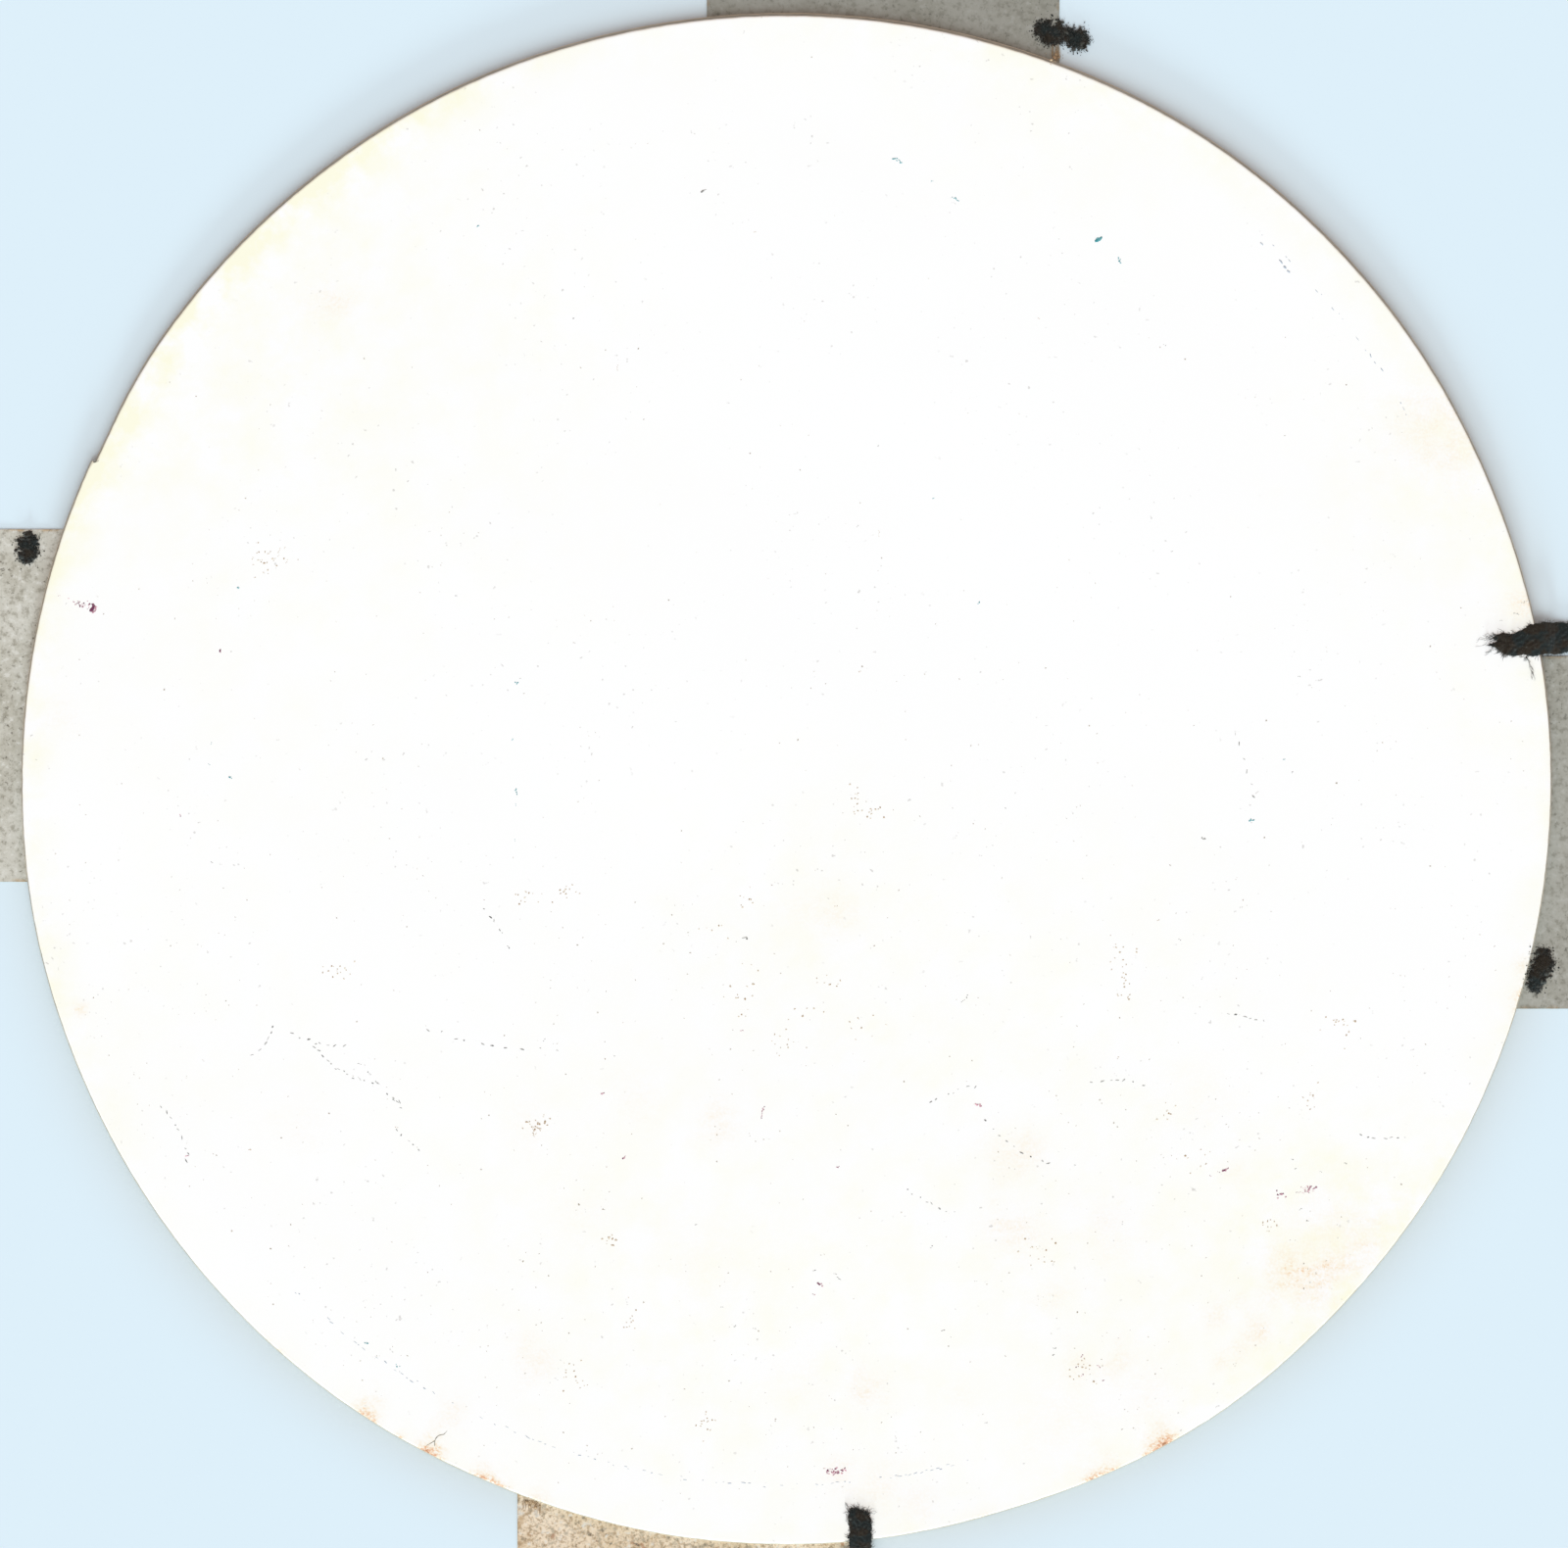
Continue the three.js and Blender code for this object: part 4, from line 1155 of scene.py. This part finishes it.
def scabs(spots, seed):
    """Points, quads and triangles of thin raised scabs on the face. Each is a low dome over a ragged
    oval: a top point, an inner ring, an outer ring a hair under the paper, and a point below."""
    x, y, length, width, heading = (np.array(spots, float).T * [[MM], [MM], [MM], [MM], [1]])[..., None]
    count = len(spots)
    draw = np.random.default_rng(seed)
    here = np.arange(SCAB_SIDES)
    turn = here * 2 * np.pi / SCAB_SIDES
    ragged = 1 + 0.28 * draw.normal(0, 0.6, (count, SCAB_SIDES))
    ahead, aside = np.cos(turn) * length / 2 * ragged, np.sin(turn) * width / 2 * ragged
    facing = np.radians(heading)
    east = ahead * np.cos(facing) - aside * np.sin(facing)
    north = ahead * np.sin(facing) + aside * np.cos(facing)
    height = np.minimum(0.10 * width, 0.05 * MM)
    ground = face_top + cockle(x[:, 0], y[:, 0])[:, None]
    ones = np.ones((1, SCAB_SIDES))
    outer = np.stack([x + east, y + north, (ground - 0.004 * MM) * ones], -1)
    inner = np.stack([x + 0.72 * east, y + 0.72 * north, (ground + 0.8 * height) * ones], -1)
    top = np.stack([x, y, ground + height], -1)
    below = np.stack([x, y, ground - 0.012 * MM], -1)
    points = np.concatenate([outer, inner, top, below], 1).reshape(-1, 3)
    low_ring = (np.arange(count) * (2 * SCAB_SIDES + 2))[:, None]
    high_ring, pole = low_ring + SCAB_SIDES, low_ring + 2 * SCAB_SIDES + 0 * here
    after = (here + 1) % SCAB_SIDES
    quads = np.stack([low_ring + here, low_ring + after, high_ring + after, high_ring + here], -1)
    caps = np.stack([high_ring + here, high_ring + after, pole], -1)
    floors = np.stack([low_ring + after, low_ring + here, pole + 1], -1)
    return points, quads.reshape(-1, 4), np.concatenate([caps, floors]).reshape(-1, 3)


def dashes(chain, seed):
    """Scabs along a shallow arc: uneven dashes of 0.2 to 0.7 mm, each turned roughly along the run."""
    from_x, from_y, to_x, to_y, sag, count = chain
    draw = np.random.default_rng(seed)
    share = (np.arange(count) + draw.uniform(-0.3, 0.3, count)) / max(count - 1, 1)
    run = np.array([to_x - from_x, to_y - from_y])
    left = np.array([-run[1], run[0]]) / np.hypot(*run)
    bow = 4 * sag * share * (1 - share)
    place = np.array([from_x, from_y]) + share[:, None] * run + bow[:, None] * left
    place += draw.normal(0, 0.12, (count, 2))
    heading = np.degrees(np.arctan2(run[1], run[0])) + draw.normal(0, 22, count)
    length, width = draw.uniform(0.22, 0.7, count), draw.uniform(0.11, 0.24, count)
    return np.column_stack([place, length, width, heading])


def broken(spots, seed):
    """Breaks each scab into a few smaller ones that lie unevenly along its length."""
    draw = np.random.default_rng(seed)
    spots = np.array(spots, float)
    copies = np.clip(np.rint(spots[:, 2] / 0.20), 2, 8).astype(int)
    pieces = np.repeat(spots, copies, axis=0)
    order = np.arange(len(pieces)) - np.repeat(np.cumsum(copies) - copies, copies)
    along = ((order + draw.uniform(0.2, 0.8, len(pieces))) / np.repeat(copies, copies) - 0.5) * pieces[:, 2]
    aside = draw.normal(0, 0.22, len(pieces)) * pieces[:, 3]
    facing = np.radians(pieces[:, 4])
    pieces[:, 0] += along * np.cos(facing) - aside * np.sin(facing)
    pieces[:, 1] += along * np.sin(facing) + aside * np.cos(facing)
    pieces[:, 2] = np.maximum(0.13, pieces[:, 3] * draw.uniform(0.45, 1.15, len(pieces)))
    pieces[:, 3] = np.maximum(0.10, pieces[:, 3] * draw.uniform(0.3, 0.7, len(pieces)))
    pieces[:, 4] += draw.normal(0, 35, len(pieces))
    return pieces


def stippled(east, north, wide, high, count, seed):
    """A patch of fine dots that thins towards its border."""
    draw = np.random.default_rng(seed)
    place = draw.normal(0, 0.5, (count, 2)) * [wide / 2, high / 2] + [east, north]
    sizes = draw.uniform(0.12, 0.34, (count, 2))
    return np.column_stack([place, sizes.max(1), sizes.min(1), draw.uniform(0, 180, count)])


def loose_groups(count, seed):
    """Faint groups of dots, here and there over the southern half."""
    draw = np.random.default_rng(seed)
    groups = []
    for number in range(count):
        radius, bearing = 98 * draw.random() ** 0.6, draw.uniform(190, 350)
        east, north = radius * np.cos(np.radians(bearing)), radius * np.sin(np.radians(bearing))
        wide, high = draw.uniform(2, 7, 2)
        groups.append(stippled(east, north, wide, high, draw.integers(6, 18), seed + number))
    return np.concatenate(groups)


def dried_paint(name, low, high):
    """Dull dried paint between two colours, chosen by each scab's shade and mottled within it."""
    material, tree, shader = new_finish(name)
    mottle = noise(tree, stretched(tree), 2600.0, 2.0, 0.6)
    shade = calc(tree, "SUBTRACT", read_attribute(tree, "shade"), 0.4)
    share = calc(tree, "MULTIPLY_ADD", mottle, 0.8, shade, clamp=True)
    set_shader(tree, shader, 0.5, 0.03 * MM, Base_Color=mixed(tree, share, low, high), Roughness=0.7,
               Specular_IOR_Level=0.25, Height=mottle)
    return material


def scab_piece(name, spots, low, high, seed):
    """All the scabs of one colour as a piece, with a shade stored for each."""
    points, quads, triangles = scabs(spots, seed)
    piece = mesh_piece(name, points, quads, triangles)
    large = np.clip(np.array(spots, float)[:, 3] * 1.6, 0, 1)
    shade = np.clip(np.random.default_rng(seed + 1).random(len(spots)) * 1.1 - 0.5 * large, 0, 1)
    write_attribute(piece, "shade", np.repeat(shade, 2 * SCAB_SIDES + 2))
    piece.data.materials.append(dried_paint(name + "_paint", low, high))
    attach(piece, "root")


chain_spots = np.concatenate([dashes(chain, 300 + number) for number, chain in enumerate(CHAINS)])
crimson_spots = np.concatenate([
    broken(CRIMSON, 340), stippled(7.1, -99.6, 2.4, 1.1, 44, 341), stippled(75.2, -59.0, 2.2, 1.2, 14, 342),
    stippled(-101.6, 25.2, 3.4, 0.9, 16, 343), stippled(71.0, -59.8, 1.6, 1.0, 9, 348),
    [(-99.9, 24.7, 0.75, 0.5, 80)],
])
tan_spots = np.concatenate([
    broken(TAN, 349), stippled(-74.6, 31.8, 6.0, 4.0, 16, 344), stippled(-36.5, -50.3, 2.6, 2.4, 12, 345),
    stippled(42.6, -84.6, 5.0, 4.0, 14, 346), loose_groups(26, 400),
])
teal_spots = np.concatenate([broken(TEAL, 347), [(44.9, 77.8, 0.7, 0.55, 35)]])
grey_spots = np.concatenate([broken(GREY, 350), chain_spots])
scab_piece("flecks_teal", teal_spots, (0.05, 0.26, 0.29), (0.28, 0.54, 0.58), 201)
scab_piece("flecks_crimson", crimson_spots, (0.15, 0.035, 0.085), (0.80, 0.48, 0.54), 211)
scab_piece("flecks_grey", grey_spots, (0.17, 0.165, 0.16), (0.56, 0.56, 0.54), 221)
scab_piece("flecks_tan", tan_spots, (0.42, 0.30, 0.19), (0.76, 0.68, 0.56), 231)


# ---- The specks of dirt --------------------------------------------------------------------------------
# About a thousand fine specks of grey and brown dirt lie on the face. They gather in loose drifts, and
# are thickest over its southern half.

def speck_spots(count, seed):
    """Random specks within the rim. More are kept towards the south, and they gather in loose drifts."""
    draw = np.random.default_rng(seed)
    place = draw.uniform(-107, 107, (count * 6, 2))
    drift = ripple(np.column_stack([place, 0 * place[:, 0]]), 24, seed + 1)
    wanted = 0.30 - 0.0035 * place[:, 1] + 0.28 * drift
    kept = place[(np.hypot(*place.T) < 106.5) & (draw.random(len(place)) < wanted)][:count]
    sizes = 0.10 + 0.22 * draw.random((len(kept), 2)) ** 2.5
    return np.column_stack([kept, sizes.max(1), sizes.min(1), draw.uniform(0, 180, len(kept))])


scab_piece("specks_of_dirt", speck_spots(1000, 251), (0.40, 0.35, 0.28), (0.78, 0.75, 0.69), 241)


# ---- The rub ring --------------------------------------------------------------------------------------
# Something round, 206 mm across, was pressed on the face and left a broken blue-grey line. It shows at
# the south and at the north-east.

RING_CENTRE = (-0.2, 1.5)
RING_RADIUS = 103.1


def ring_spots(start, end, spacing, kept, seed):
    """Dashes along the ring between two bearings: about one for each spacing in mm, with a share of them
    kept."""
    draw = np.random.default_rng(seed)
    count = int(np.radians(end - start) * RING_RADIUS / spacing)
    bearing = start + (end - start) * (np.arange(count) + draw.uniform(-0.3, 0.3, count)) / count
    around = ripple(np.column_stack([bearing, 0 * bearing, 0 * bearing]), 9, seed + 1)
    bearing = bearing[draw.random(count) < kept + 0.3 * around]
    angle = np.radians(bearing)
    radius = RING_RADIUS + draw.normal(0, 0.12, len(angle))
    place = np.column_stack([radius * np.cos(angle), radius * np.sin(angle)]) + RING_CENTRE
    length, width = draw.uniform(0.2, 0.75, len(angle)), draw.uniform(0.09, 0.17, len(angle))
    return np.column_stack([place, length, width, bearing + 90 + draw.normal(0, 9, len(angle))])


ring = np.concatenate([
    ring_spots(226, 286, 0.75, 0.55, 261),
    ring_spots(29, 52, 1.1, 0.40, 271),
    [(71.2, 74.6, 0.8, 0.3, -50), (71.8, 73.8, 0.7, 0.34, -52)],
    [(72.3, 73.2, 0.6, 0.3, -40), (68.4, 77.2, 0.7, 0.26, -42)],
])
scab_piece("rub_ring", ring, (0.34, 0.40, 0.48), (0.60, 0.64, 0.68), 281)


# ---- The crack -----------------------------------------------------------------------------------------
# A hairline crack runs in from the rim at the south-west, with a short branch. Grey-olive dirt has filled
# it, and stands as a low ridge along it.

CRACKS = (
    # points along the crack, in mm from the centre
    ((-51.9, -95.9), (-51.5, -95.7), (-51.0, -95.4), (-50.65, -95.2), (-50.55, -94.9), (-50.2, -94.5),
     (-49.8, -94.35), (-49.4, -94.3), (-48.9, -93.8)),
    ((-50.65, -95.2), (-50.7, -95.6), (-50.66, -96.0)),
)


def seam(path, width):
    """A thin ridge along a path: a flat ribbon that tapers to both ends, with a low crown."""
    path = np.array(path)
    gone = np.concatenate([[0], np.cumsum(np.hypot(*np.diff(path, axis=0).T))])
    along = np.linspace(0, gone[-1], 60)
    middle = np.column_stack([np.interp(along, gone, path[:, 0]), np.interp(along, gone, path[:, 1])])
    run = np.gradient(middle, axis=0)
    left = np.column_stack([-run[:, 1], run[:, 0]]) / np.hypot(*run.T)[:, None]
    uneven = 0.75 + 0.25 * ripple(np.column_stack([middle, 0 * along]), 0.5, 291)
    half = width / 2 * np.sqrt(np.clip(np.sin(np.pi * (0.04 + 0.92 * along / gone[-1])), 0, 1)) * uneven
    across = np.linspace(-1, 1, 5)[None, :, None]
    flat = (middle[:, None] + across * half[:, None, None] * left[:, None]) * MM
    ground = face_top + cockle(flat[..., 0], flat[..., 1])
    crown = 0.014 * MM * (1 - across[..., 0] ** 2)
    return closed_sheet(np.concatenate([flat, (ground + 0.003 * MM + crown)[..., None]], -1),
                        np.concatenate([flat, (ground - 0.01 * MM)[..., None]], -1))


for number, path in enumerate(CRACKS):
    crack = mesh_piece(f"crack_{number + 1}", *seam(path, 0.17))
    write_attribute(crack, "shade", np.full(len(crack.data.vertices), 0.35))
    dirt = dried_paint(f"crack_dirt_{number + 1}", (0.17, 0.15, 0.11), (0.50, 0.48, 0.42))
    crack.data.materials.append(dirt)
    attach(crack, "root")
